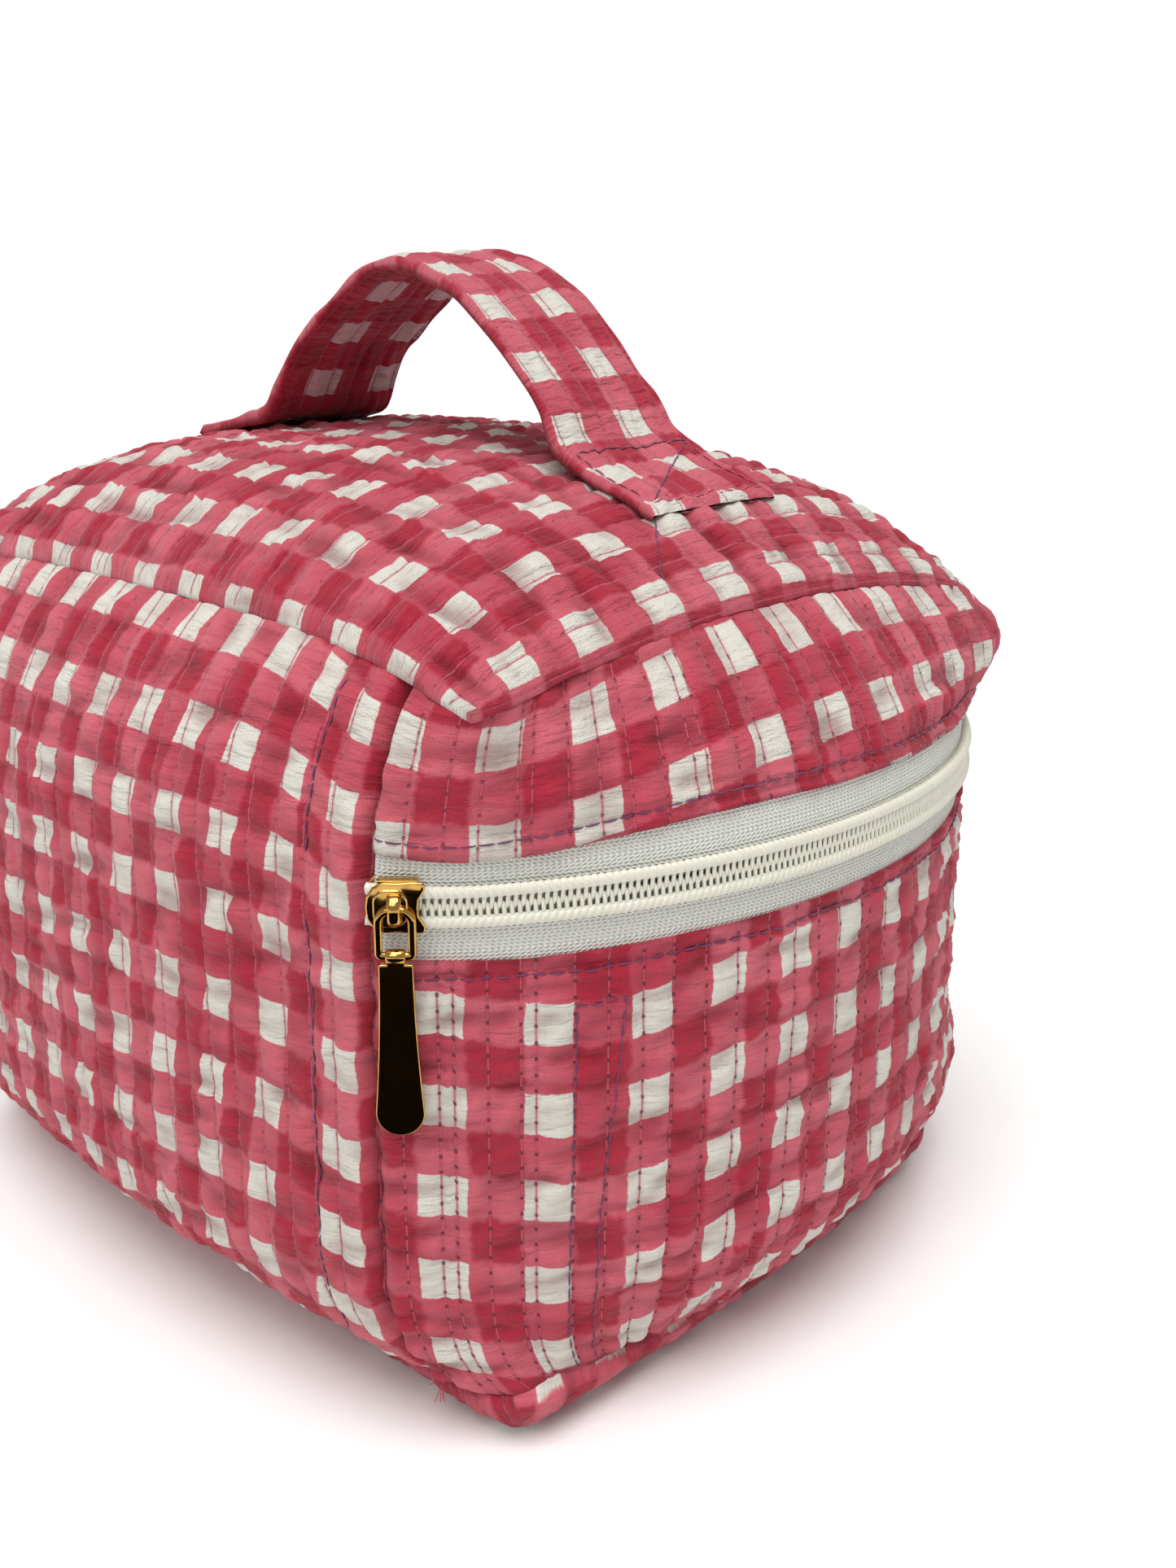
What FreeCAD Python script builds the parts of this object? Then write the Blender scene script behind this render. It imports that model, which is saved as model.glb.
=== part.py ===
import FreeCAD, Part
import os
from math import atan2, cos, hypot, pi, radians, sin, sqrt, tan

# Boxy quilted makeup bag: a soft box with a domed lid, a zip round three sides,
# a full-height back panel that folds as the hinge, and a strap handle on top.
# +Z up, X along the length, origin at the bottom centre, millimetres.

V = FreeCAD.Vector
os.makedirs("parts", exist_ok=True)
doc = FreeCAD.newDocument("makeup_bag")

# ---------------------------------------------------------------- driving dimensions

DIMENSIONS = {
    # plan outline at mid height: end arcs about the origin, long-side arcs, corner fillets
    "end_radius": 105.5,
    "side_radius": 275.0,
    "side_reach": 87.5,
    "back_corner_radius": 12.0,
    "front_corner_radius": 16.0,
    # upright outline: half sizes at the top and bottom seams, bulge, heights
    "edge_half_length": 86.4,
    "edge_half_width": 66.3,
    "end_reach": 106.0,
    "low_height": 36.0,
    "high_height": 96.0,
    "seam_height": 133.0,
    "crown_height": 155.0,
    "crown_raise": 2.0,
    "dome_radius_long": 400.0,
    "dome_radius_wide": 220.0,
    "shoulder_radius_long": 50.0,
    "shoulder_radius_wide": 46.0,
    # plies of the quilt, measured inwards from the outer surface
    "outer_ply": 0.9,
    "wadding_start": 0.95,
    "wadding_end": 3.5,
    "lining_start": 3.55,
    "lining_end": 4.2,
    "binding_start": 4.25,
    "binding_end": 5.4,
    "thread_stand": 0.25,
    "thread_width": 0.5,
    "zip_stitch_inset": 3.4,
    "side_stitch_inset": 11.0,
    "seam_gap": 0.3,
    "lining_gap": 4.4,
    "binding_half_width": 3.5,
    # zip
    "zip_height": 98.0,
    "zip_gap": 0.6,
    "zip_fold": 8.0,
    "tape_hidden": 6.0,
    "tape_end": 1.5,
    "coil_stand": 0.6,
    "coil_half": 3.3,
    "fold_gap": 0.3,
    "slider_azimuth": 134.0,
    "slider_length": 8.8,
    "slider_width": 8.2,
    "slider_clear": 0.95,
    "slider_front": 1.1,
    "slider_back": 1.0,
    "back_plate_inset": 2.3,
    "bail_width": 1.5,
    "bail_length": 4.4,
    "bail_rise": 1.8,
    "bail_metal": 0.8,
    "link_stand": 2.95,
    "link_half": 2.35,
    "link_drop": 7.2,
    "link_wire": 1.1,
    "link_bend": 1.2,
    "link_gap": 0.4,
    "tab_thickness": 1.2,
    "tab_length": 28.4,
    "tab_shoulder": 5.4,
    "tab_end": 7.5,
    "tab_neck": 2.9,
    "barrel_radius": 1.15,
    # back panel seams, as half widths at the ends and at mid height
    "back_half_end": 66.0,
    "back_half_mid": 71.5,
    # upright strip sewn inside the end wall, as angles about the Z axis
    "strip_azimuth": 150.4,
    "strip_half_angle": 2.15,
    "strip_top": 80.0,
    # handle
    "handle_centre": -5.0,
    "handle_span": 44.0,
    "handle_top": 189.0,
    "handle_width": 33.0,
    "handle_thickness": 3.4,
    "handle_ply": 0.8,
    "handle_joint": 163.5,
    "foot_inner": 43.0,
    "foot_outer": 65.0,
    "tilt_notch": 14.0,
}

sheet = doc.addObject("Spreadsheet::Sheet", "Dimensions")
for row, (word, value) in enumerate(DIMENSIONS.items(), start=1):
    sheet.set("A%d" % row, word)
    sheet.set("B%d" % row, str(value))
    sheet.setAlias("B%d" % row, word)
doc.recompute()


class Size:
    """The sheet's numbers as attributes, for shapes that no primitive fits."""


for word in DIMENSIONS:
    setattr(Size, word, float(sheet.get(word)))

FAR = 400.0
NODES = []


# ---------------------------------------------------------------- small helpers

def bind(obj, **expressions):
    """Bind properties of an object to cells of the sheet; _ in a key stands for a dot."""
    for name, text in expressions.items():
        obj.setExpression(name.replace("_", "."), text)
    return obj


def cells(text):
    """Words with a leading @ become cells of the sheet."""
    return text.replace("@", "Dimensions.")


def block(name, x, y, z):
    """A Part::Box from three pairs of expressions: low edge and length."""
    obj = doc.addObject("Part::Box", name)
    bind(obj, Length=cells(x[1]), Width=cells(y[1]), Height=cells(z[1]))
    bind(obj, Placement_Base_x=cells(x[0]), Placement_Base_y=cells(y[0]), Placement_Base_z=cells(z[0]))
    return obj


def solid(name, shape):
    obj = doc.addObject("Part::Feature", name)
    obj.Shape = shape
    return obj


def cut(name, base, tool):
    obj = doc.addObject("Part::Cut", name)
    obj.Base = base
    obj.Tool = tool
    return obj


def common(name, *parts):
    obj = doc.addObject("Part::MultiCommon", name)
    obj.Shapes = list(parts)
    return obj


def fuse(name, *parts):
    obj = doc.addObject("Part::MultiFuse", name)
    obj.Shapes = list(parts)
    return obj


def node(obj, label):
    """Make an object a sub-part of the bag."""
    obj.Label = label
    NODES.append(obj)
    return obj


def meet(c1, r1, c2, r2):
    """The two points where two circles cross, in a plane."""
    dx = c2[0] - c1[0]
    dz = c2[1] - c1[1]
    gap = hypot(dx, dz)
    along = (r1 * r1 - r2 * r2 + gap * gap) / (2 * gap)
    off = sqrt(r1 * r1 - along * along)
    mx = c1[0] + along * dx / gap
    mz = c1[1] + along * dz / gap
    return [(mx - off * dz / gap, mz + off * dx / gap), (mx + off * dz / gap, mz - off * dx / gap)]


def arc(centre, start, end, place):
    """The shorter arc about a centre from start to end, put in space by place(u, w)."""
    a = atan2(start[1] - centre[1], start[0] - centre[0])
    b = atan2(end[1] - centre[1], end[0] - centre[0])
    turn = (b - a + pi) % (2 * pi) - pi
    radius = hypot(start[0] - centre[0], start[1] - centre[1])
    mid = (centre[0] + radius * cos(a + turn / 2), centre[1] + radius * sin(a + turn / 2))
    return Part.Arc(place(*start), place(*mid), place(*end)).toShape()


def line(start, end, place):
    return Part.LineSegment(place(*start), place(*end)).toShape()


def mirrored(point):
    return (-point[0], point[1])


# ---------------------------------------------------------------- the soft box at a depth

def corner_centre(radius):
    """Centre of a corner fillet inside an end arc and a long-side arc, for x > 0, y > 0."""
    side = (0.0, Size.side_reach - Size.side_radius)
    crossings = meet((0.0, 0.0), Size.end_radius - radius, side, Size.side_radius - radius)
    return max(crossings)


def plan_prism(depth):
    """Plan outline of the box, moved in by depth and stood up as a prism."""
    def place(x, y):
        return V(x, y, -FAR / 4)

    def towards(centre, origin, radius):
        reach = hypot(centre[0] - origin[0], centre[1] - origin[1])
        return (centre[0] + radius * (centre[0] - origin[0]) / reach,
                centre[1] + radius * (centre[1] - origin[1]) / reach)

    edges = []
    ends = []
    for sign, radius in ((1, Size.back_corner_radius), (-1, Size.front_corner_radius)):
        x, y = corner_centre(radius)
        middle = (x, sign * y)
        side = (0.0, sign * (Size.side_reach - Size.side_radius))
        on_end = towards(middle, (0.0, 0.0), radius - depth)
        on_side = towards(middle, side, radius - depth)
        ends.append(on_end)
        edges.append(arc(middle, on_end, on_side, place))
        edges.append(arc(mirrored(middle), mirrored(on_end), mirrored(on_side), place))
        edges.append(arc(side, on_side, mirrored(on_side), place))
    edges.append(arc((0.0, 0.0), ends[0], ends[1], place))
    edges.append(arc((0.0, 0.0), mirrored(ends[0]), mirrored(ends[1]), place))
    outline = Part.Wire(Part.__sortEdges__(edges))
    return Part.Face(outline).extrude(V(0, 0, FAR))


def upright_face(depth, floor, reach, edge, crown, dome_radius, shoulder_radius, place):
    """Upright outline: floor, bulged walls, seam corner, rounded shoulders and a low dome."""
    bulge = reach - edge
    low_radius = (bulge ** 2 + Size.low_height ** 2) / (2 * bulge)
    high_rise = Size.seam_height - Size.high_height
    high_radius = (bulge ** 2 + high_rise ** 2) / (2 * bulge)
    low_centre = (reach - low_radius, Size.low_height)
    high_centre = (reach - high_radius, Size.high_height)
    dome_centre = (0.0, crown - dome_radius)
    crossings = meet(dome_centre, dome_radius - shoulder_radius, (edge, Size.seam_height), shoulder_radius)
    shoulder = max((p for p in crossings), key=lambda p: p[1])
    span = hypot(shoulder[0], shoulder[1] - dome_centre[1])
    scale = (dome_radius - depth) / span
    on_dome = (shoulder[0] * scale, dome_centre[1] + (shoulder[1] - dome_centre[1]) * scale)
    corners = meet(shoulder, shoulder_radius - depth, high_centre, high_radius - depth)
    seam = min(corners, key=lambda p: hypot(p[0] - edge, p[1] - Size.seam_height))
    base_z = floor + depth
    base_u = low_centre[0] + sqrt((low_radius - depth) ** 2 - (Size.low_height - base_z) ** 2)
    base = (base_u, base_z)
    low = (reach - depth, Size.low_height)
    high = (reach - depth, Size.high_height)
    half = [(low_centre, base, low), None, (high_centre, high, seam), (shoulder, seam, on_dome)]
    edges = [line(mirrored(base), base, place), arc(dome_centre, on_dome, mirrored(on_dome), place)]
    edges += [line(low, high, place), line(mirrored(low), mirrored(high), place)]
    for piece in half:
        if piece:
            centre, start, end = piece
            edges.append(arc(centre, start, end, place))
            edges.append(arc(mirrored(centre), mirrored(start), mirrored(end), place))
    return Part.Face(Part.Wire(Part.__sortEdges__(edges)))


def soft_box(depth):
    """The whole box moved in by depth: plan prism and two upright prisms in common."""
    long_face = upright_face(depth, 0.0, Size.end_reach, Size.edge_half_length,
                             Size.crown_height + Size.crown_raise, Size.dome_radius_long,
                             Size.shoulder_radius_long, lambda u, z: V(u, -FAR / 2, z))
    wide_face = upright_face(depth, -2.0, Size.side_reach + 0.5, Size.edge_half_width,
                             Size.crown_height, Size.dome_radius_wide,
                             Size.shoulder_radius_wide, lambda u, z: V(-FAR / 2, u, z))
    upright = long_face.extrude(V(0, FAR, 0)).common(wide_face.extrude(V(FAR, 0, 0)))
    return plan_prism(depth).common(upright)


BOXES = {}


def ply(name, outside, inside):
    """A shell between two depths, kept as one object of the document."""
    for depth in (outside, inside):
        if depth not in BOXES:
            BOXES[depth] = soft_box(depth)
    return solid(name, BOXES[outside].cut(BOXES[inside]))


outer_ply = ply("OuterPly", 0.0, Size.outer_ply)
wadding_ply = ply("WaddingPly", Size.wadding_start, Size.wadding_end)
lining_ply = ply("LiningPly", Size.lining_start, Size.lining_end)
tape_ply = ply("TapePly", Size.wadding_start, Size.tape_end)
coil_ply = ply("CoilPly", -Size.coil_stand, Size.outer_ply)
thread_ply = ply("ThreadPly", -Size.thread_stand, 0.0)
binding_ply = ply("BindingPly", Size.binding_start, Size.binding_end)
foot_ply = ply("FootPly", -0.05 - Size.handle_thickness, -0.05)
foot_thread_ply = ply("FootThreadPly", -0.1 - Size.handle_thickness - Size.thread_stand,
                      -0.1 - Size.handle_thickness)


# ---------------------------------------------------------------- zones that part the panels

def band(name, low, high):
    """A slab of the whole bag between two heights."""
    return block(name, ("-200", "400"), ("-200", "400"), (low, "(%s) - (%s)" % (high, low)))


def back_zone(name, widen):
    """The upright region of the back panel: bowed seams on both sides, widened by a margin."""
    end = Size.back_half_end + widen
    mid = Size.back_half_mid + widen
    top = Size.seam_height + 40.0
    half = Size.seam_height / 2
    face_y = 20.0
    low = [V(-end, face_y, 0), V(end, face_y, 0)]
    high = [V(end, face_y, Size.seam_height), V(-end, face_y, Size.seam_height)]
    edges = [Part.LineSegment(V(-end, face_y, -10), V(end, face_y, -10)).toShape(),
             Part.LineSegment(V(end, face_y, -10), low[1]).toShape(),
             Part.Arc(low[1], V(mid, face_y, half), high[0]).toShape(),
             Part.LineSegment(high[0], V(end, face_y, top)).toShape(),
             Part.LineSegment(V(end, face_y, top), V(-end, face_y, top)).toShape(),
             Part.LineSegment(V(-end, face_y, top), high[1]).toShape(),
             Part.Arc(high[1], V(-mid, face_y, half), low[0]).toShape(),
             Part.LineSegment(low[0], V(-end, face_y, -10)).toShape()]
    return solid(name, Part.Face(Part.Wire(edges)).extrude(V(0, FAR / 2, 0)))


def wedge(name, first, last):
    """An upright sector about the Z axis between two azimuths in degrees."""
    reach = FAR / 2
    corner = [V(0, 0, -20)]
    for angle in (first, (first + last) / 2, last):
        corner.append(V(reach * cos(radians(angle)), reach * sin(radians(angle)), -20))
    face = Part.Face(Part.makePolygon(corner + corner[:1]))
    return solid(name, face.extrude(V(0, 0, FAR)))


def rest_of(name, ply_object, low, high, back, keep_back):
    """Part of a ply between two heights, on the back panel or everywhere but there."""
    slab = band(name + "Band", low, high)
    stretch = common(name + "Stretch", ply_object, slab)
    if keep_back:
        return common(name, stretch, back)
    return cut(name, stretch, back)


SEAM = 0.15
back_inside = back_zone("BackZoneInside", -SEAM)
back_outside = back_zone("BackZoneOutside", SEAM)
back_soft_inside = back_zone("BackZoneSoftInside", -1.0)
back_soft_outside = back_zone("BackZoneSoftOutside", 1.0)

BOTTOM_SEAM = "@outer_ply + 0.4"
TOP_SEAM = "@seam_height - 1.2"
LOWER_FOLD = "@zip_height - @zip_fold"
UPPER_FOLD = "@zip_height + @zip_fold"
BACK_FOLD_LOW = "@zip_height - @fold_gap"
BACK_FOLD_HIGH = "@zip_height + @fold_gap"


# ---------------------------------------------------------------- body panels

def bottom_panels():
    node(common("BottomPanel", outer_ply, band("BottomBand", "-5", BOTTOM_SEAM + " - 0.1")), "bottom_panel")
    node(common("BottomWadding", wadding_ply, band("BottomWaddingBand", "0", "@wadding_end + 0.6")),
         "bottom_wadding")
    node(common("BottomLining", lining_ply, band("BottomLiningBand", "0", "@lining_end + 0.6")),
         "bottom_lining")


def body_panels():
    node(rest_of("BodyWall", outer_ply, BOTTOM_SEAM, LOWER_FOLD, back_outside, False), "body_wall")
    node(rest_of("BodyWadding", wadding_ply, "@wadding_end + 0.9", LOWER_FOLD + " - @tape_hidden - 0.8",
                 back_soft_outside, False), "body_wadding")
    node(rest_of("BodyLining", lining_ply, "@lining_end + 0.9", LOWER_FOLD + " - 1.0",
                 back_outside, False), "body_lining")
    node(rest_of("BackLower", outer_ply, BOTTOM_SEAM, BACK_FOLD_LOW, back_inside, True),
         "back_panel_lower")
    node(rest_of("BackWaddingLower", wadding_ply, "@wadding_end + 0.9", BACK_FOLD_LOW + " - 1.0",
                 back_soft_inside, True), "back_wadding_lower")
    node(rest_of("BackLiningLower", lining_ply, "@lining_end + 0.9", BACK_FOLD_LOW,
                 back_inside, True), "back_lining_lower")


def lid_panels():
    node(common("TopPanel", outer_ply, band("TopBand", TOP_SEAM, "@seam_height + 60")), "top_panel")
    node(common("TopWadding", wadding_ply, band("TopWaddingBand", TOP_SEAM + " - 3.0", "@seam_height + 60")),
         "top_wadding")
    node(common("TopLining", lining_ply, band("TopLiningBand", TOP_SEAM + " - 4.0", "@seam_height + 60")),
         "top_lining")
    lid_wall = rest_of("LidWall", outer_ply, UPPER_FOLD, TOP_SEAM + " - @seam_gap", back_outside, False)
    node(lid_wall, "lid_wall")
    node(rest_of("LidWadding", wadding_ply, UPPER_FOLD + " + @tape_hidden + 0.8", TOP_SEAM + " - 3.4",
                 back_soft_outside, False), "lid_wadding")
    node(rest_of("LidLining", lining_ply, UPPER_FOLD + " + 1.0", TOP_SEAM + " - @lining_gap",
                 back_outside, False), "lid_lining")
    node(rest_of("BackUpper", outer_ply, BACK_FOLD_HIGH, TOP_SEAM + " - @seam_gap", back_inside, True),
         "back_panel_upper")
    node(rest_of("BackWaddingUpper", wadding_ply, BACK_FOLD_HIGH + " + 1.0", TOP_SEAM + " - 3.4",
                 back_soft_inside, True), "back_wadding_upper")
    node(rest_of("BackLiningUpper", lining_ply, BACK_FOLD_HIGH, TOP_SEAM + " - @lining_gap",
                 back_inside, True), "back_lining_upper")


# ---------------------------------------------------------------- zip tapes and coils

def zip_halves():
    """Lower half on the body, upper half on the lid; the lid's half is clear of the slider."""
    tape_low = rest_of("TapeLower", tape_ply, LOWER_FOLD + " - @tape_hidden", "@zip_height - @zip_gap",
                       back_outside, False)
    coil_low = rest_of("CoilLower", coil_ply, "@zip_height - @coil_half", "@zip_height - @zip_gap",
                       back_outside, False)
    node(tape_low, "zip_tape_lower")
    node(coil_low, "zip_coil_lower")
    half_turn = (Size.slider_length / 2 + 1.2) / Size.end_radius * 180 / pi
    sector = wedge("SliderSector", Size.slider_azimuth - 12.0, Size.slider_azimuth + half_turn)
    window_band = band("SliderWindowBand", "@zip_height", "@zip_height + @slider_width / 2 + 0.8")
    window = common("SliderWindow", sector, window_band)
    tape_high = rest_of("TapeUpperWhole", tape_ply, "@zip_height + @zip_gap",
                        UPPER_FOLD + " + @tape_hidden", back_outside, False)
    coil_high = rest_of("CoilUpperWhole", coil_ply, "@zip_height + @zip_gap",
                        "@zip_height + @coil_half", back_outside, False)
    node(cut("TapeUpper", tape_high, window), "zip_tape_upper")
    node(cut("CoilUpper", coil_high, window), "zip_coil_upper")


# ---------------------------------------------------------------- stitching and bindings

def topstitching():
    """Thin rows of thread on the outer surface, beside the zip and the back seams."""
    node(rest_of("StitchLower", thread_ply, LOWER_FOLD + " - @zip_stitch_inset - @thread_width",
                 LOWER_FOLD + " - @zip_stitch_inset",
                 back_outside, False), "zip_topstitch_lower")
    node(rest_of("StitchUpper", thread_ply, UPPER_FOLD + " + @zip_stitch_inset",
                 UPPER_FOLD + " + @zip_stitch_inset + @thread_width",
                 back_outside, False), "zip_topstitch_upper")
    wide = back_zone("BackStitchOutside", -Size.side_stitch_inset)
    narrow = back_zone("BackStitchInside", -Size.side_stitch_inset - Size.thread_width)
    for part, low, high, label in (("Lower", "@outer_ply + 4.0", BACK_FOLD_LOW + " - 0.5", "back"),
                                   ("Upper", BACK_FOLD_HIGH + " + 0.5", TOP_SEAM + " - 1.0", "lid")):
        rows = cut("BackStitch" + part, rest_of("BackStitchWide" + part, thread_ply, low, high, wide, True),
                   narrow)
        for side, start in (("left", "-200"), ("right", "0")):
            half = block("BackStitchHalf" + part + side, (start, "200"), ("0", "200"), ("-10", "300"))
            node(common("BackStitch" + part + side, rows, half), label + "_topstitch_" + side)


def bindings():
    """Bias strips over the raw seams inside the bag."""
    node(common("BottomBinding", binding_ply, band("BottomBindingBand", "5.9", "12.5")),
         "bottom_seam_binding")
    top_band = band("TopBindingBand", TOP_SEAM + " - 10.0", TOP_SEAM + " - 4.6")
    node(common("TopBinding", binding_ply, top_band), "top_seam_binding")
    wide = back_zone("BindingOutside", Size.binding_half_width)
    narrow = back_zone("BindingInside", -Size.binding_half_width)
    for part, low, high, label in (("Lower", "12.9", LOWER_FOLD + " - 1.0", "back"),
                                   ("Upper", UPPER_FOLD + " + 1.0", TOP_SEAM + " - 10.4", "lid")):
        strips = cut("SeamStrip" + part, rest_of("SeamStripWide" + part, binding_ply, low, high, wide, True),
                     narrow)
        for side, start in (("left", "-200"), ("right", "0")):
            half = block("SeamStripHalf" + part + side, (start, "200"), ("0", "200"), ("-10", "300"))
            node(common("SeamStrip" + part + side, strips, half), label + "_binding_" + side)


def wall_tape():
    """A short upright strip sewn inside the end wall, and its row of thread outside."""
    centre = Size.strip_azimuth
    half = Size.strip_half_angle
    sector = wedge("StripSector", centre - half, centre + half)
    inner = wedge("StripSectorInner", centre - half + 0.3, centre + half - 0.3)
    node(common("WallTape", binding_ply, sector, band("StripBand", "13.0", "@strip_top")), "inner_wall_tape")
    rectangle = common("StripThread", thread_ply, sector, band("StripThreadBand", "8.0", "@strip_top"))
    middle = common("StripHole", inner, band("StripHoleBand", "0", "@strip_top - @thread_width"))
    node(cut("StripStitching", rectangle, middle), "wall_tape_stitching")


# ---------------------------------------------------------------- handle

def arch_face(inset):
    """Side view of the strap arch: a parabola with a constant thickness, less an inset."""
    thickness = Size.handle_thickness / 2
    top = Size.handle_top - thickness
    rise = top - Size.crown_height
    steps = 12
    outer = []
    inner = []
    for i in range(-steps, steps + 1):
        s = 1.04 * i / steps
        slope = -2 * rise * s / Size.handle_span
        length = hypot(1.0, slope)
        x = Size.handle_centre + s * Size.handle_span
        z = top - rise * s * s
        out = (thickness - inset) / length
        outer.append(V(x - slope * out, 0, z + out))
        inner.append(V(x + slope * out, 0, z - out))
    curves = []
    for row in (outer, inner):
        curve = Part.BSplineCurve()
        curve.interpolate(row)
        curves.append(curve.toShape())
    edges = curves + [Part.LineSegment(outer[0], inner[0]).toShape(),
                      Part.LineSegment(outer[-1], inner[-1]).toShape()]
    return Part.Face(Part.Wire(Part.__sortEdges__(edges)))


def arch(name, inset):
    width = Size.handle_width - 2 * inset
    face = arch_face(inset)
    face.translate(V(0, -width / 2, 0))
    return solid(name, face.extrude(V(0, width, 0)))


def roof(name, sign, gap):
    """A prism above (sign 1) or below (sign -1) a shallow V at the height of the tilt axis."""
    half = Size.handle_width
    slope = tan(radians(Size.tilt_notch)) * half
    z = Size.handle_joint + sign * gap
    corners = [V(-FAR / 2, -half, z + sign * slope), V(-FAR / 2, 0, z), V(-FAR / 2, half, z + sign * slope),
               V(-FAR / 2, half, z + sign * 90), V(-FAR / 2, -half, z + sign * 90)]
    face = Part.Face(Part.makePolygon(corners + corners[:1]))
    return solid(name, face.extrude(V(FAR, 0, 0)))


def handle():
    """Strap cover and wadding that tilt, and the two feet sewn flat on the top panel."""
    whole = arch("HandleWhole", 0.0)
    hollow = arch("HandleHollow", Size.handle_ply)
    core = arch("HandleCore", Size.handle_ply + 0.05)
    above = roof("AboveTiltAxis", 1, 0.3)
    below = roof("BelowTiltAxis", -1, 0.3)
    node(common("HandleCover", cut("HandleTube", whole, hollow), above), "handle_cover")
    node(common("HandleWadding", core, above), "handle_wadding")
    clear = solid("HandleClear", BOXES[-0.05].copy())
    stumps = cut("HandleStumps", common("HandleLegs", whole, below), clear)
    half = Size.handle_width / 2
    thread = 0.5
    for side, sign in (("left", -1), ("right", 1)):
        near = Size.handle_centre + sign * Size.foot_inner
        far = Size.handle_centre + sign * Size.foot_outer
        low = min(near, far)
        length = abs(far - near)
        pad_box = solid("PadBox" + side, Part.makeBox(length, 2 * half, 60, V(low, -half, 130)))
        pad = common("Pad" + side, foot_ply, pad_box)
        leg_box = solid("LegBox" + side, Part.makeBox(60, 2 * half + 2, 60,
                                                      V(near - 30, -half - 1, 130)))
        leg = common("Leg" + side, stumps, leg_box)
        node(fuse("Foot" + side, pad, leg), "handle_foot_" + side)
        start = far - sign * 3.0
        stop = near + sign * 9.0
        x0 = min(start, stop)
        x1 = max(start, stop)
        y1 = half - 3.0
        ring = Part.makeBox(x1 - x0, 2 * y1, 60, V(x0, -y1, 130))
        ring = ring.cut(Part.makeBox(x1 - x0 - 2 * thread, 2 * y1 - 2 * thread, 60,
                                     V(x0 + thread, -y1 + thread, 130)))
        run = hypot(x1 - x0 - thread, 2 * y1 - thread)
        diagonal = Part.makeBox(run, thread, 60, V(0, -thread / 2, 130))
        turn = atan2(2 * y1 - thread, x1 - x0 - thread) * 180 / pi
        diagonal.rotate(V(0, 0, 0), V(0, 0, 1), turn)
        diagonal.translate(V(x0 + thread / 2, -y1 + thread / 2, 0))
        pattern = solid("FootPattern" + side, ring.fuse(diagonal))
        node(common("FootStitch" + side, foot_thread_ply, pattern), "foot_stitching_" + side)


# ---------------------------------------------------------------- slider, link and tab

def metal(name, x, y, z):
    """A block of the slider: x outwards from the outer surface, y along the zip, z about it."""
    return block(name, ("@end_radius + " + x[0], x[1]), y, ("@zip_height + " + z[0], z[1]))


def turned(name, obj):
    """A copy of a finished shape at the parked azimuth."""
    doc.recompute()
    result = solid(name, obj.Shape.copy())
    result.Placement = FreeCAD.Placement(V(0, 0, 0), FreeCAD.Rotation(V(0, 0, 1), Size.slider_azimuth))
    return result


def slider():
    along = ("-@slider_length / 2", "@slider_length")
    front = metal("SliderFront", ("@slider_clear", "@slider_front"), along,
                  ("(-@slider_width / 2)", "@slider_width"))
    rounded = doc.addObject("Part::Fillet", "SliderFrontRounded")
    doc.recompute()
    rounded.Base = front
    picks = []
    for i, edge in enumerate(front.Shape.Edges, start=1):
        first, last = (vertex.Point for vertex in edge.Vertexes)
        if hypot(first.y - last.y, first.z - last.z) < 1e-6:
            picks.append(i)
    rounded.Edges = [(i, 2.0, 2.0) for i in picks]
    back = metal("SliderBack", ("(-1.95 - @slider_back)", "@slider_back"),
                 ("-@slider_length / 2 + @back_plate_inset", "@slider_length - @back_plate_inset - 0.2"),
                 ("(-@slider_width / 2 + 0.2)", "@slider_width - 0.4"))
    post = metal("SliderPost", ("(-2.0)", "3.2"), ("-@slider_length / 2 + @back_plate_inset + 0.1", "1.8"),
                 ("(-0.3)", "0.6"))
    low_rim = metal("SliderRimLow", ("(-0.5)", "1.6"), ("-@slider_length / 2 + 2.0", "@slider_length - 4.0"),
                    ("(-@slider_width / 2)", "0.45"))
    high_rim = metal("SliderRimHigh", ("(-0.5)", "1.6"),
                     ("-@slider_length / 2 + 2.0", "@slider_length - 4.0"),
                     ("(@slider_width / 2 - 0.45)", "0.45"))
    whole = fuse("SliderWhole", rounded, back, post, low_rim, high_rim)
    node(turned("ZipSlider", whole), "zip_slider")
    top = "@slider_clear + @slider_front"
    arch_block = metal("BailBlock", (top, "@bail_rise + @bail_metal"), ("-@bail_width / 2", "@bail_width"),
                       ("(-@bail_length / 2)", "@bail_length"))
    arch_round = doc.addObject("Part::Fillet", "BailRounded")
    doc.recompute()
    arch_round.Base = arch_block
    outermost = max(v.X for v in arch_block.Shape.Vertexes)
    picks = [i for i, e in enumerate(arch_block.Shape.Edges, start=1)
             if abs(e.Vertexes[0].Z - e.Vertexes[1].Z) < 1e-6
             and min(v.X for v in e.Vertexes) > outermost - 1e-6]
    arch_round.Edges = [(i, 1.2, 1.2) for i in picks]
    hollow = metal("BailHollow", (top + " - 1", "@bail_rise + 1"), ("-5", "10"),
                   ("(-@bail_length / 2 + 0.6)", "@bail_length - 1.2"))
    node(turned("SliderBail", cut("BailArch", arch_round, hollow)), "slider_bail")


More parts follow.
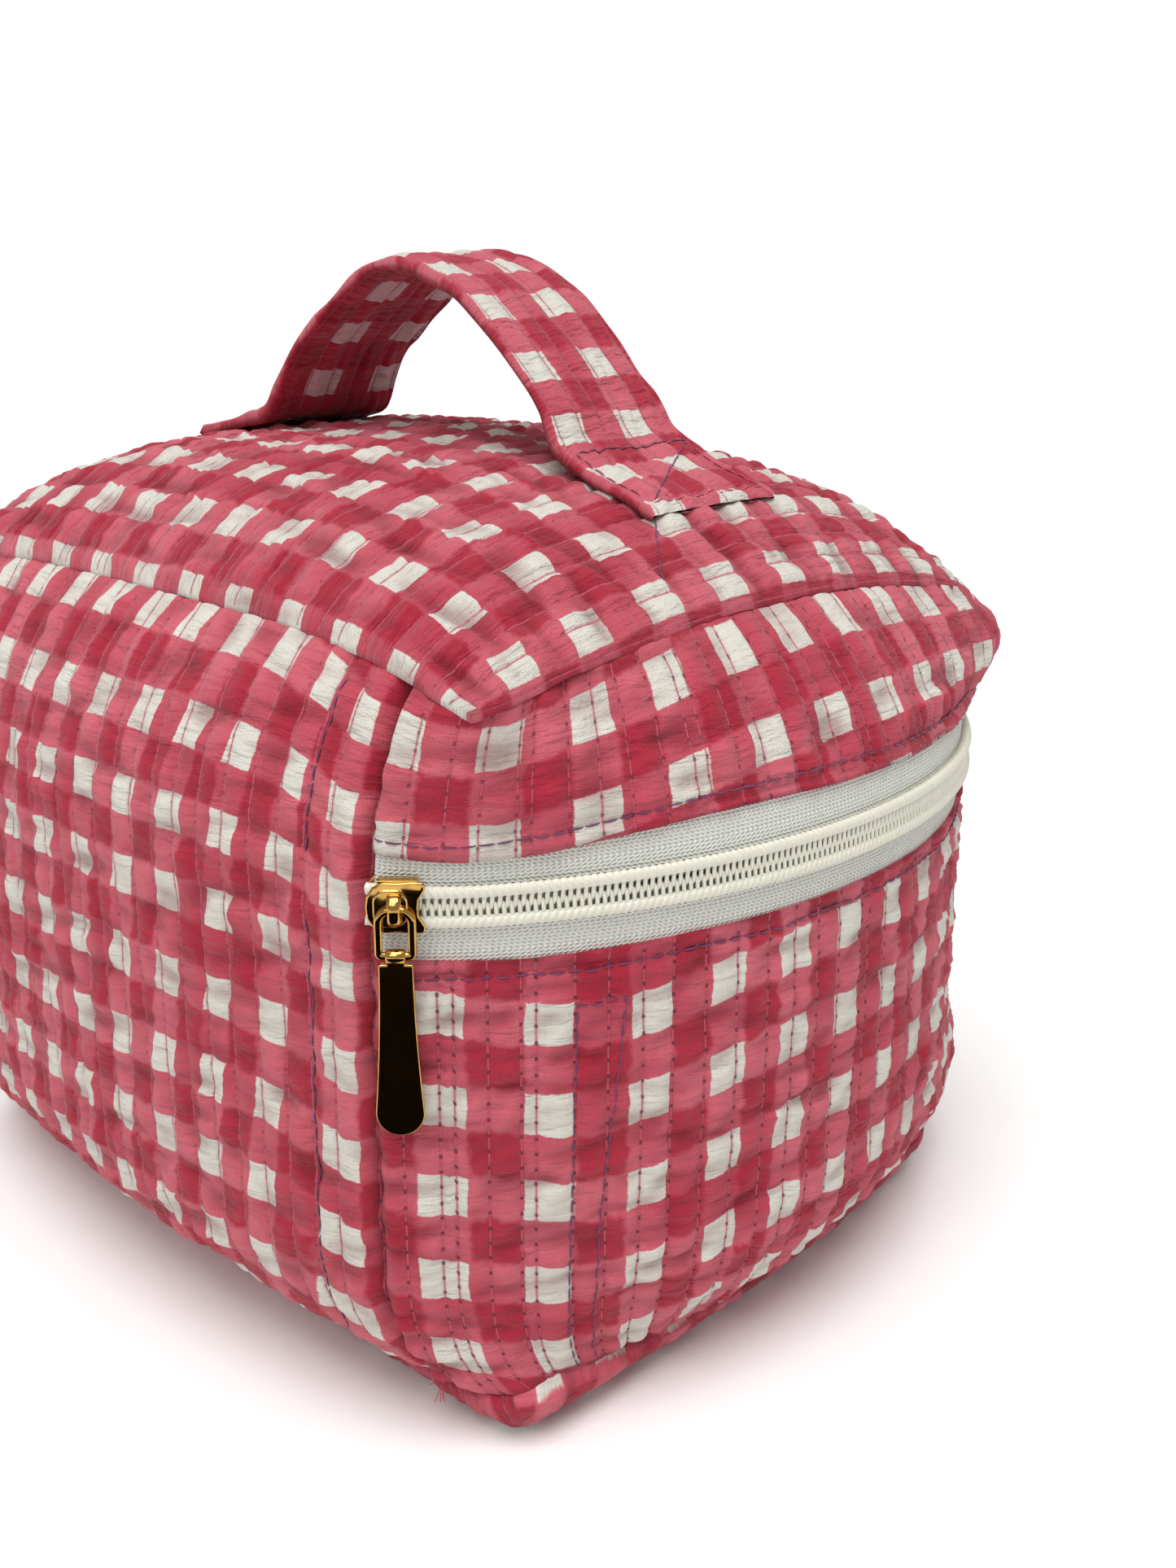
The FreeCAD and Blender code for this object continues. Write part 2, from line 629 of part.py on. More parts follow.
def link():
    """A wire bent to a U, its two ends turned inwards through the tab's barrel."""
    x = Size.end_radius + Size.link_stand
    top = Size.zip_height
    low = top - Size.link_drop
    half = Size.link_half
    bend = Size.link_bend
    end = Size.link_gap / 2

    def place(y, z):
        return V(x, y, z)

    stops = [(-end, low), (-half, low), (-half, top), (half, top), (half, low), (end, low)]
    edges = []
    last = stops[0]
    for before, corner, after in zip(stops, stops[1:], stops[2:]):
        into = V(corner[0] - before[0], corner[1] - before[1], 0).normalize()
        away = V(after[0] - corner[0], after[1] - corner[1], 0).normalize()
        start = (corner[0] - bend * into.x, corner[1] - bend * into.y)
        finish = (corner[0] + bend * away.x, corner[1] + bend * away.y)
        centre = (start[0] + bend * away.x, start[1] + bend * away.y)
        edges.append(line(last, start, place))
        edges.append(arc(centre, start, finish, place))
        last = finish
    edges.append(line(last, stops[-1], place))
    path = Part.Wire(edges)
    ring = Part.makeCircle(Size.link_wire / 2, place(*stops[0]), V(0, -1, 0))
    wire = path.makePipeShell([Part.Wire([ring])], True, True)
    node(turned("PullerLink", solid("LinkWire", wire)), "puller_link")


def tab_outline(place):
    """Front view of the tab: neck, shoulders and a flare to a round end."""
    pin = Size.zip_height - Size.link_drop
    neck = Size.tab_neck / 2
    shoulder = pin - Size.barrel_radius - 0.2
    end_half = Size.tab_end / 2
    centre_z = shoulder - Size.tab_length + end_half
    top_half = Size.tab_shoulder / 2
    points = [(-neck, pin), (-neck, shoulder), (-top_half, shoulder), (-end_half, centre_z)]
    edges = [line(a, b, place) for a, b in zip(points, points[1:])]
    edges += [line((-a[0], a[1]), (-b[0], b[1]), place) for a, b in zip(points, points[1:])]
    edges.append(line(points[0], (neck, pin), place))
    ends = (place(-end_half, centre_z), place(0, centre_z - end_half), place(end_half, centre_z))
    edges.append(Part.Arc(*ends).toShape())
    return Part.Face(Part.Wire(Part.__sortEdges__(edges)))


def tab():
    x = Size.end_radius + Size.link_stand
    pin = Size.zip_height - Size.link_drop
    face = tab_outline(lambda y, z: V(x - Size.tab_thickness / 2, y, z))
    plate = solid("TabPlate", face.extrude(V(Size.tab_thickness, 0, 0)))
    barrel = doc.addObject("Part::Cylinder", "TabBarrel")
    bore = doc.addObject("Part::Cylinder", "TabBore")
    sizes = ((barrel, "@barrel_radius", "@tab_neck"), (bore, "@link_wire / 2 + 0.08", "8"))
    for cylinder, radius, length in sizes:
        cylinder.Placement = FreeCAD.Placement(V(x, 0, pin), FreeCAD.Rotation(V(1, 0, 0), 90))
        bind(cylinder, Radius=cells(radius), Height=cells(length))
        bind(cylinder, Placement_Base_y=cells(length + " / 2"))
    body = fuse("TabBody", plate, barrel)
    node(turned("PullerTab", cut("TabBored", body, bore)), "puller_tab")


bottom_panels()
body_panels()
lid_panels()
zip_halves()
topstitching()
bindings()
wall_tape()
handle()
slider()
link()
tab()
doc.recompute()

for item in doc.Objects:
    if "Invalid" in item.State or "Error" in item.State:
        raise RuntimeError("not computed: %s %s" % (item.Name, item.State))

for item in NODES:
    shape = item.Shape
    if shape.isNull() or not shape.isValid() or shape.Volume <= 0:
        raise RuntimeError("bad shape: " + item.Label)
    if shape.ShapeType == "Compound" and len(shape.Solids) == 1:
        shape = shape.Solids[0]
    box = shape.BoundBox
    print("%-24s solids %d volume %9.1f  x %7.1f %7.1f  y %7.1f %7.1f  z %6.1f %6.1f" % (
        item.Label, len(shape.Solids), shape.Volume, box.XMin, box.XMax, box.YMin, box.YMax,
        box.ZMin, box.ZMax))
    shape.exportStep("parts/%s.step" % item.Label)
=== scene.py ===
from math import atan2, cos, hypot, pi, radians, sin, sqrt

import bpy
import numpy as np
from mathutils import Matrix, Vector


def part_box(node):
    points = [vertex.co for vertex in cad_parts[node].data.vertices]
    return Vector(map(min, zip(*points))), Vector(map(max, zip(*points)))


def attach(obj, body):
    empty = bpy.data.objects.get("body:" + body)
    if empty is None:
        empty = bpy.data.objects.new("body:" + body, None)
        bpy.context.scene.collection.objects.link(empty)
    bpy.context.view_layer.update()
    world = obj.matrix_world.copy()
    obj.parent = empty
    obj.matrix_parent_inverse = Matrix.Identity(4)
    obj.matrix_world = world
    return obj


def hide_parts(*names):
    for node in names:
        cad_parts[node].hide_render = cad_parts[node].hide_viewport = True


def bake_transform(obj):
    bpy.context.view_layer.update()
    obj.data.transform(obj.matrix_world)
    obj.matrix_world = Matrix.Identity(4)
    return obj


# Quilted makeup bag. Shapes are worked out in millimetres in the frame of the CAD model.

MM = 0.001
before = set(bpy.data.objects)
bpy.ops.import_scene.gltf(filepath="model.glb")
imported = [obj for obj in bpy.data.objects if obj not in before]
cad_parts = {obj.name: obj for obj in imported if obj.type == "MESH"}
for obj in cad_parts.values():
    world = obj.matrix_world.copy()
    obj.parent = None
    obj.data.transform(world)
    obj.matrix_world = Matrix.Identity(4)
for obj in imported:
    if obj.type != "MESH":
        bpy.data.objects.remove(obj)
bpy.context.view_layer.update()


def top_of(node):
    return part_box(node)[1] / MM


def foot_of(node):
    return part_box(node)[0] / MM


# ---- sizes, in millimetres

END_RADIUS = -foot_of("body_wall").x
SIDE_REACH = -foot_of("body_wall").y
SIDE_RADIUS = 275.0
BACK_FILLET = 12.0
FRONT_FILLET = 16.0
EDGE_X = 84.8
EDGE_BACK = 68.8
EDGE_FRONT = 64.0
EDGE_BOW = 2.6
EDGE_ROUND = 8.0
LOW_Z = 36.0
HIGH_Z = 96.0
SEAM_Z = 133.0
SEAM_LIFT = 1.8
CROWN = top_of("top_panel").z - SEAM_Z - SEAM_LIFT
CORNER_DROP = 8.3
FOOT_LIFT = 4.2
FOOT_SPREAD = 0.07
FOOT_DRAW = 3.5
BOTTOM_SEAM = 7.5
SEAM_MID_X = 68.6
SEAM_EDGE_X = 69.5
ZIP_Z = (top_of("zip_coil_lower").z + foot_of("zip_coil_upper").z) / 2
LOWER_FOLD = top_of("body_wall").z
UPPER_FOLD = foot_of("lid_wall").z
TAPE_LOW = foot_of("zip_tape_lower").z
TAPE_HIGH = top_of("zip_tape_upper").z
LINING_DEPTH = 4.2
QUILT_PITCH = 5.6
SIDE_STITCH = 11.2
STITCH = 2.8
FOLD_STITCH = 3.6


# ---- vectors

def unit(vectors):
    return vectors / np.maximum(np.linalg.norm(vectors, axis=-1, keepdims=True), 1e-9)


def heading(path):
    """Unit tangents along a path."""
    return unit(np.gradient(path, axis=0))


def run_of(path):
    """Length along a path at each of its points."""
    return np.r_[0, np.cumsum(np.linalg.norm(np.diff(path, axis=0), axis=1))]


# ---- outlines

def meet(c1, r1, c2, r2):
    """The two points where two circles cross."""
    dx = c2[0] - c1[0]
    dy = c2[1] - c1[1]
    gap = hypot(dx, dy)
    along = (r1 * r1 - r2 * r2 + gap * gap) / (2 * gap)
    off = sqrt(r1 * r1 - along * along)
    mx = c1[0] + along * dx / gap
    my = c1[1] + along * dy / gap
    return [(mx - off * dy / gap, my + off * dx / gap), (mx + off * dy / gap, my - off * dx / gap)]


def arc_points(centre, radius, start, end, step=0.5):
    """Points on an arc from one angle to another, in radians."""
    count = max(3, int(abs(end - start) * radius / step))
    angle = np.linspace(start, end, count)
    return np.column_stack([centre[0] + radius * np.cos(angle), centre[1] + radius * np.sin(angle)])


def angle_at(centre, point):
    return atan2(point[1] - centre[1], point[0] - centre[0]) % (2 * pi)


class Track:
    """A polyline in plan, read by its length."""

    def __init__(self, points):
        self.points = points[np.r_[True, np.hypot(*np.diff(points, axis=0).T) > 1e-6]]
        self.along = run_of(self.points)
        self.length = self.along[-1]

    def at(self, s):
        return np.interp(s, self.along, self.points[:, 0]), np.interp(s, self.along, self.points[:, 1])

    def place_of(self, x, y):
        return self.along[np.argmin(np.hypot(self.points[:, 0] - x, self.points[:, 1] - y))]


def mid_half():
    """Half of the plan outline at mid height, from the middle of the back over -X to the front."""
    side_back = (0.0, SIDE_REACH - SIDE_RADIUS)
    side_front = (0.0, SIDE_RADIUS - SIDE_REACH)
    back = min(meet((0.0, 0.0), END_RADIUS - BACK_FILLET, side_back, SIDE_RADIUS - BACK_FILLET))
    front = min(meet((0.0, 0.0), END_RADIUS - FRONT_FILLET, side_front, SIDE_RADIUS - FRONT_FILLET))
    a1 = angle_at(side_back, back)
    a2 = angle_at((0.0, 0.0), back)
    a3 = angle_at((0.0, 0.0), front)
    a4 = angle_at(side_front, front)
    return np.vstack([arc_points(side_back, SIDE_RADIUS, pi / 2, a1),
                      arc_points(back, BACK_FILLET, a1, a2),
                      arc_points((0.0, 0.0), END_RADIUS, a2, a3),
                      arc_points(front, FRONT_FILLET, a3, a4),
                      arc_points(side_front, SIDE_RADIUS, a4, 1.5 * pi)])


def edge_depth(y):
    """Half width of the seam outline on the side that y is on."""
    return np.where(y > 0, EDGE_BACK, EDGE_FRONT)


def straight(start, end, step=0.5):
    count = max(2, int(hypot(end[0] - start[0], end[1] - start[1]) / step))
    t = np.linspace(0, 1, count)[:, None]
    return np.array(start) * (1 - t) + np.array(end) * t


def edge_half():
    """Half of the plan outline at the seams: a rounded rectangle whose ends bow outwards."""
    cx = EDGE_X - EDGE_ROUND
    back = EDGE_BACK - EDGE_ROUND
    front = EDGE_FRONT - EDGE_ROUND
    points = np.vstack([straight((0.0, EDGE_BACK), (-cx, EDGE_BACK)),
                        arc_points((-cx, back), EDGE_ROUND, pi / 2, pi),
                        straight((-EDGE_X, back), (-EDGE_X, -front)),
                        arc_points((-cx, -front), EDGE_ROUND, pi, 1.5 * pi),
                        straight((-cx, -EDGE_FRONT), (0.0, -EDGE_FRONT))])
    points[:, 0] *= 1 - EDGE_BOW / EDGE_X * (points[:, 1] / EDGE_BACK) ** 2
    return points


def whole(half):
    other = half[::-1] * [-1.0, 1.0]
    return np.vstack([half, other])


MID = Track(whole(mid_half()))
EDGE = Track(whole(edge_half()))


def wall_keys(track, seam_x):
    """Lengths along a track at the left seam, -X end, front, +X end and right seam."""
    half = track.length / 2
    back = track.points[: len(track.points) // 4]
    s = track.place_of(*back[np.argmin(np.abs(back[:, 0] + seam_x))])
    end = track.place_of(track.points[:, 0].min(), 0.0)
    return np.array([s, end, half, track.length - end, track.length - s])


MID_KEYS = wall_keys(MID, SEAM_MID_X)
EDGE_KEYS = wall_keys(EDGE, SEAM_EDGE_X)
WALL_LENGTH = MID_KEYS[4] - MID_KEYS[0]
BACK_HALF = MID_KEYS[0]


def bulge_share(z):
    """How far the wall stands out between its edge outline, 0, and its mid outline, 1."""
    bulge = SIDE_REACH - EDGE_BACK
    foot = LOW_Z - BOTTOM_SEAM
    low_radius = (bulge ** 2 + foot ** 2) / (2 * bulge)
    rise = SEAM_Z - HIGH_Z
    high_radius = (bulge ** 2 + rise ** 2) / (2 * bulge)
    low = np.clip(LOW_Z - z, 0, foot)
    high = np.clip(z - HIGH_Z, 0, rise + 3)
    fall = low_radius - np.sqrt(low_radius ** 2 - low ** 2)
    fall = fall + high_radius - np.sqrt(np.clip(high_radius ** 2 - high ** 2, 0, None))
    return 1 - fall / bulge


def seam_rise(x, y):
    """Height of the top seam over its nominal height at a place on the seam outline."""
    return SEAM_LIFT - CORNER_DROP * (np.abs(x) / EDGE_X) ** 4 * (y / edge_depth(y)) ** 2


def foot_rise(x, y):
    """How much higher the bottom seam is at its corners."""
    return FOOT_LIFT * (np.abs(x) / EDGE_X) ** 4 * (y / edge_depth(y)) ** 2


def spread(x, y, low):
    """The foot of the bag is longer and its back edge further in than its top: low is 1 at the floor."""
    longer = FOOT_SPREAD * (1 - 0.7 * np.clip(-y / EDGE_FRONT, 0, 1) ** 2)
    return x * (1 + longer * low), y - np.where(y > 0, FOOT_DRAW * (y / EDGE_BACK) ** 2 * low, 0.0)


def shell_point(mid_s, edge_s, z):
    """A point of the wall from its places on the two outlines and its height."""
    mx, my = MID.at(mid_s)
    ex, ey = EDGE.at(edge_s)
    share = bulge_share(z)
    rise = seam_rise(ex, ey) * np.clip(z / SEAM_Z, 0, 1) ** 6
    swell = 9.0 * np.exp(-((z - 119.0) / 9.5) ** 2) + 5.5 * np.exp(-((z - 24.0) / 15.0) ** 2)
    front_corner = np.exp(-(((np.abs(mx) - 72.0) / 26.0) ** 2 + ((my + 74.0) / 26.0) ** 2))
    swell = swell * front_corner / 100
    low = np.clip(1 - z / 40, 0, 1) ** 2
    rise = rise + foot_rise(ex, ey) * low
    ex, ey = spread(ex, ey, low)
    return np.stack([(ex + (mx - ex) * share) * (1 + swell), (ey + (my - ey) * share) * (1 + swell),
                     z + rise], axis=-1)


def from_seam(u):
    """Distance along the wall to the nearer back seam."""
    return np.minimum(u, WALL_LENGTH - u)


def wall_point(u, z):
    """The three-sided wall: u runs from the left back seam over the -X end and the front."""
    mid_s = MID_KEYS[0] + u
    return shell_point(mid_s, np.interp(mid_s, MID_KEYS, EDGE_KEYS), z)


def back_point(u, z):
    """The back panel: u runs from the middle, towards -X positive."""
    mid_s = np.where(u < 0, MID.length + u, u)
    edge = np.abs(u) * EDGE_KEYS[0] / MID_KEYS[0]
    return shell_point(mid_s, np.where(u < 0, EDGE.length - edge, edge), z)


def normals(surface, u, v):
    """Outward unit normals of a surface function, by central differences."""
    step = 0.4
    du = surface(u + step, v) - surface(u - step, v)
    dv = surface(u, v + step) - surface(u, v - step)
    return unit(np.cross(du, dv))


def upward_normals(surface, u, v):
    n = normals(surface, u, v)
    return n * np.sign(n[..., 2:3] + 1e-9)


# ---- soft detail

def ripple(u, v, seed, length, stretch=1.0, waves=7):
    """Smooth seeded noise about zero, of a given wavelength."""
    rng = np.random.default_rng(seed)
    total = 0.0
    for _ in range(waves):
        angle = rng.uniform(0, pi)
        wave = length * rng.uniform(0.7, 1.6)
        turn = 2 * pi * (u * cos(angle) + v * sin(angle) / stretch) / wave
        total = total + np.sin(turn + rng.uniform(0, 2 * pi))
    return total / sqrt(waves)


def quilt_columns(start, end, seed, pitch=QUILT_PITCH, fine=0.8, doubles=0.16):
    """Grid columns that fall on every quilting line: places, distance to the nearest line, its shift."""
    rng = np.random.default_rng(seed)
    lines = [start]
    while lines[-1] < end - 0.8 * pitch:
        lines.append(lines[-1] + pitch * rng.uniform(0.9, 1.1))
        if rng.uniform() < doubles and lines[-1] < end - 1.5 * pitch:
            lines.append(lines[-1] + 0.42 * pitch)
    lines[-1] = end
    shifts = rng.uniform(0, STITCH, len(lines))
    places = []
    near = []
    shift = []
    for i, (a, b) in enumerate(zip(lines, lines[1:])):
        count = 2 * max(1, round((b - a) / fine / 2))
        t = np.arange(count) / count
        places.extend(a + (b - a) * t)
        near.extend(np.minimum(t, 1 - t) * (b - a))
        shift.extend(np.where(t <= 0.5, shifts[i], shifts[i + 1]))
    places.append(end)
    near.append(0.0)
    shift.append(shifts[-1])
    return np.array(places), np.array(near), np.array(shift)


def wrinkles(u, v, seed):
    """Puckers that run across the quilting lines, where the stitches gather the cloth."""
    broad = 0.32 * ripple(u, v, seed + 1, 17.0, stretch=0.34)
    fine = 0.24 * ripple(u, v, seed + 3, 10.0, stretch=0.34)
    fold = 0.50 * np.clip(ripple(u * 0.3, v, seed + 2, 7.5) - 0.3, 0.0, None)
    return broad + fine - fold


def puff(near, u, v, seed, height=0.9):
    """Height of the wadding between the quilting lines, pinched and rippled."""
    channel = 1 - np.exp(-(near / 0.9) ** 1.4)
    swell = 0.82 + 0.18 * ripple(u, v, seed, 21.0)
    return height * channel * swell + wrinkles(u, v, seed) * (0.35 + 0.65 * channel) + 0.09


def valley(u, v, seed):
    """How deep in a pucker a place lies, from 0 to 1; the cloth's material darkens it as painted shade."""
    return np.clip(-wrinkles(u, v, seed) / 0.8, 0.0, 1.0)


def dent(distance, width, depth):
    """A groove of a given depth that fades with distance."""
    return depth * np.exp(-(distance / width) ** 2)


def mesh_piece(name, points, faces, layers, smooth=True):
    """A mesh object from points in millimetres, faces and point layers in millimetres."""
    mesh = bpy.data.meshes.new(name)
    mesh.from_pydata((np.asarray(points) * MM).tolist(), [], faces)
    for layer, values in layers.items():
        attribute = mesh.attributes.new(layer, "FLOAT_VECTOR", "POINT")
        attribute.data.foreach_set("vector", np.asarray(values, np.float32).ravel())
    if smooth:
        mesh.polygons.foreach_set("use_smooth", [True] * len(mesh.polygons))
    mesh.validate()
    mesh.update()
    piece = bpy.data.objects.new(name, mesh)
    bpy.context.scene.collection.objects.link(piece)
    return piece


def grid_faces(rows, columns, closed=False, flip=False):
    wrap = rows if closed else rows - 1
    i = np.repeat(np.arange(wrap), columns - 1)
    j = np.tile(np.arange(columns - 1), wrap)
    k = (i + 1) % rows
    quads = np.column_stack([i * columns + j, k * columns + j, k * columns + j + 1, i * columns + j + 1])
    if flip:
        quads = quads[:, ::-1]
    return quads.tolist()


def grid_piece(name, points, fabric, quilt, turns=None, flip=False, closed=False):
    """A cloth grid: points (rows, columns, 3), its cloth, quilting and print coordinates as layers."""
    rows, columns = points.shape[:2]
    layers = {"fabric_mm": fabric.reshape(-1, 3), "quilt_mm": quilt.reshape(-1, 3)}
    if turns is not None:
        layers["print_turns"] = turns.reshape(-1, 3)
    return mesh_piece(name, points.reshape(-1, 3), grid_faces(rows, columns, closed, flip), layers)


class Cloth:
    """The finished surface of a quilted grid, so that threads can lie on it."""

    def __init__(self, across, upwards, points, first, last):
        self.across = across
        self.upwards = np.broadcast_to(upwards, points.shape[:2])[:, first:last]
        self.points = points[:, first:last]

    def column(self, i, w):
        return np.array([np.interp(w, self.upwards[i], self.points[i, :, k]) for k in range(3)])

    def at(self, u, w):
        """Points of the surface at places across it and heights up it."""
        found = []
        for a, b in zip(u, w):
            i = int(np.clip(np.searchsorted(self.across, a) - 1, 0, len(self.across) - 2))
            share = (a - self.across[i]) / (self.across[i + 1] - self.across[i])
            share = min(max(share, 0.0), 1.0)
            found.append(self.column(i, b) * (1 - share) + self.column(i + 1, b) * share)
        return np.array(found)


CLOTHS = {}


def layer(*parts):
    return np.stack(np.broadcast_arrays(*parts), axis=-1).astype(float)


# ---- materials

BLACK = (0.0, 0.0, 0.0, 1.0)
WHITE = (1.0, 1.0, 1.0, 1.0)


class Nodes:
    """Short names for building a node tree."""

    def __init__(self, name):
        self.material = bpy.data.materials.new(name)
        self.material.use_nodes = True
        self.tree = self.material.node_tree
        self.shader = self.tree.nodes["Principled BSDF"]

    def link(self, source, socket):
        if isinstance(source, bpy.types.NodeSocket):
            self.tree.links.new(source, socket)
        else:
            socket.default_value = source

    def node(self, kind, **sockets):
        """A new node with values or links in its named sockets."""
        node = self.tree.nodes.new("ShaderNode" + kind)
        for name, value in sockets.items():
            self.link(value, node.inputs[name.replace("_", " ")])
        return node

    def math(self, kind, a, b=0.0, c=0.0):
        node = self.node("Math")
        node.operation = kind
        for socket, value in zip(node.inputs, (a, b, c)):
            self.link(value, socket)
        return node.outputs[0]

    def times(self, a, b):
        return self.math("MULTIPLY", a, b)

    def fit(self, value, scale, offset):
        return self.math("MULTIPLY_ADD", value, scale, offset)

    def rest(self, value):
        """What is left of one."""
        return self.math("SUBTRACT", 1.0, value)

    def zigzag(self, turns):
        """Distance from the middle of each turn, 0 to 0.5."""
        return self.math("ABSOLUTE", self.math("SUBTRACT", self.math("FRACT", turns), 0.5))

    def sine(self, value, pitch):
        return self.math("SINE", self.times(value, 2 * pi / pitch))

    def shade(self, color, tone):
        """A colour darkened by a grey tone."""
        return self.mix(1.0, color, self.mix(tone, BLACK, WHITE), "MULTIPLY")

    def layer(self, name):
        node = self.node("Attribute")
        node.attribute_name = name
        vector = node.outputs["Vector"]
        split = self.node("SeparateXYZ", Vector=vector)
        return vector, *split.outputs

    def place(self):
        return self.node("TexCoord").outputs["Object"]

    def scaled(self, vector, scale):
        return self.node("Mapping", Vector=vector, Scale=scale).outputs[0]

    def noise(self, vector, scale, detail=2.0, rough=0.5):
        node = self.node("TexNoise", Vector=vector, Scale=scale, Detail=detail, Roughness=rough)
        return node.outputs["Fac"]

    def step(self, value, low, high):
        node = self.node("MapRange", Value=value, From_Min=low, From_Max=high)
        node.interpolation_type = "SMOOTHSTEP"
        return node.outputs[0]

    def mix(self, factor, a, b, kind="MIX"):
        node = self.node("Mix")
        node.data_type = "RGBA"
        node.blend_type = kind
        self.link(factor, node.inputs[0])
        self.link(a, node.inputs[6])
        self.link(b, node.inputs[7])
        return node.outputs[2]

    def bump(self, height, distance):
        return self.node("Bump", Distance=distance, Height=height).outputs[0]

    def finish(self, color, roughness, bump=None, **sockets):
        if bump:
            sockets["Normal"] = bump
        for name, value in {"Base_Color": color, "Roughness": roughness, **sockets}.items():
            self.link(value, self.shader.inputs[name.replace("_", " ")])
        return self.material


def paint(r, g, b):
    """A colour given as it looks, from 0 to 255, turned to linear light."""
    parts = []
    for value in (r, g, b):
        share = value / 255
        parts.append(share / 12.92 if share <= 0.04045 else ((share + 0.055) / 1.055) ** 2.4)
    return (*parts, 1.0)


def weave_height(n, x, y, pitch):
    """Plain weave: threads over and under, about 0 to 1."""
    return n.fit(n.times(n.sine(x, pitch), n.sine(y, pitch)), 0.5, 0.5)


def printed_cotton():
    """Block-printed gingham on quilted plain-weave cotton, with its running stitches, and painted shade in
    its creases, seam ditches, hems and quilting grooves and on the handle's underside.
    """
    n = Nodes("printed_cotton")
    vector, x, y, _ = n.layer("fabric_mm")
    _, across, upwards, punched = n.layer("print_turns")
    _, near, run, deep = n.layer("quilt_mm")
    wander = n.noise(vector, 0.07, 2.0)
    edge = n.noise(vector, 0.8, 3.0, 0.7)
    ragged = n.fit(edge, 0.036, -0.018)
    bleed = n.noise(vector, 0.30, 3.0, 0.6)
    crisp = []
    soft = []
    for turns, drift in ((across, 0.10), (upwards, -0.10)):
        moved = n.math("ADD", turns, n.fit(wander, drift, -drift / 2))
        away = n.zigzag(n.math("ADD", moved, 0.5))
        crisp.append(n.step(n.math("ADD", away, ragged), 0.224, 0.240))
        smeared = n.math("ADD", away, n.fit(bleed, 0.16, -0.08))
        soft.append(n.step(smeared, 0.21, 0.29))
    dye = n.noise(vector, 0.16, 4.0, 0.6)
    patch = n.noise(vector, 0.036, 2.0)
    light = n.mix(dye, paint(212, 112, 124), paint(188, 76, 92))
    light = n.mix(n.step(patch, 0.40, 0.68), light, paint(180, 60, 78))
    dark = n.mix(dye, paint(176, 36, 58), paint(150, 22, 44))
    cloth = n.mix(dye, paint(220, 216, 206), paint(206, 201, 190))
    either = n.math("MAXIMUM", crisp[0], crisp[1])
    both = n.times(soft[0], soft[1])
    color = n.mix(either, cloth, n.mix(n.times(both, 0.9), light, dark))
    # Painted shade on the handle's underside, marked 1.5 in the third quilt_mm channel: the dyed parts turn
    # a deeper red and the white squares pink.
    under = n.step(deep, 1.15, 1.45)
    dense = n.mix(either, paint(212, 182, 186), n.mix(both, paint(172, 26, 54), paint(150, 10, 36)))
    color = n.mix(under, color, dense)
    weave = weave_height(n, x, y, 0.44)
    slub = n.noise(n.scaled(vector, (0.35, 3.2, 1.0)), 1.0, 2.0)
    slub_up = n.noise(n.scaled(vector, (3.2, 0.35, 1.0)), 1.0, 2.0)
    threads = n.math("ADD", slub, slub_up)
    tone = n.fit(weave, 0.20, 0.86)
    tone = n.times(tone, n.fit(threads, 0.26, 0.74))
    color = n.shade(color, tone)
    beat = n.zigzag(n.math("DIVIDE", run, STITCH))
    on_line = n.rest(n.step(near, 0.09, 0.19))
    # Painted shade: a slightly darker band in the groove along each quilting line.
    groove_shade = n.rest(n.step(near, 0.12, 0.7))
    hole = n.times(n.rest(n.step(near, 0.14, 0.30)), n.step(beat, 0.36, 0.45))
    hole = n.times(hole, punched)
    # Painted shade: the cloth is darkened towards a dusky pink by the depth in the third quilt_mm channel,
    # in pucker creases, seam ditches and hems (little of it on the handle's underside, which is shaded
    # above).
    shaded = n.times(n.fit(under, -1.3, deep), 0.62)
    sunk = n.mix(shaded, WHITE, paint(166, 108, 116))
    color = n.mix(1.0, color, sunk, "MULTIPLY")
    # Painted shade in the quilting grooves.
    color = n.mix(n.times(groove_shade, 0.14), color, paint(150, 60, 78))
    color = n.mix(n.times(on_line, 0.8), color, paint(200, 84, 104))
    color = n.mix(n.times(hole, 0.7), color, paint(84, 18, 34))
    creases = n.noise(n.scaled(vector, (0.10, 0.42, 1.0)), 1.0, 4.0, 0.55)
    height = n.fit(weave, 0.07, n.times(creases, 2.2))
    height = n.fit(threads, 0.05, height)
    height = n.math("SUBTRACT", height, n.times(hole, 0.45))
    height = n.fit(on_line, 0.10, height)
    return n.finish(color, 0.86, n.bump(height, 0.001), Sheen_Weight=0.12, Sheen_Roughness=0.5,
                    Specular_IOR_Level=0.2)


def plain_cotton(name, color, stitched=True):
    """Plain-weave lining cotton with the quilting seen from inside."""
    n = Nodes(name)
    vector, x, y, _ = n.layer("fabric_mm")
    _, near, run, _ = n.layer("quilt_mm")
    weave = weave_height(n, x, y, 0.5)
    cloud = n.noise(vector, 0.12, 4.0, 0.6)
    tone = n.fit(weave, 0.12, 0.9)
    tone = n.times(tone, n.fit(cloud, 0.16, 0.9))
    result = n.shade(color, tone)
    height = n.fit(weave, 0.06, n.times(cloud, 0.8))
    if stitched:
        beat = n.zigzag(n.math("DIVIDE", run, STITCH))
        on_line = n.rest(n.step(near, 0.10, 0.22))
        dash = n.times(on_line, n.rest(n.step(beat, 0.38, 0.44)))
        result = n.mix(n.times(dash, 0.8), result, paint(196, 74, 98))
        height = n.fit(dash, 0.2, height)
    return n.finish(result, 0.88, n.bump(height, 0.001), Sheen_Weight=0.2, Specular_IOR_Level=0.25)


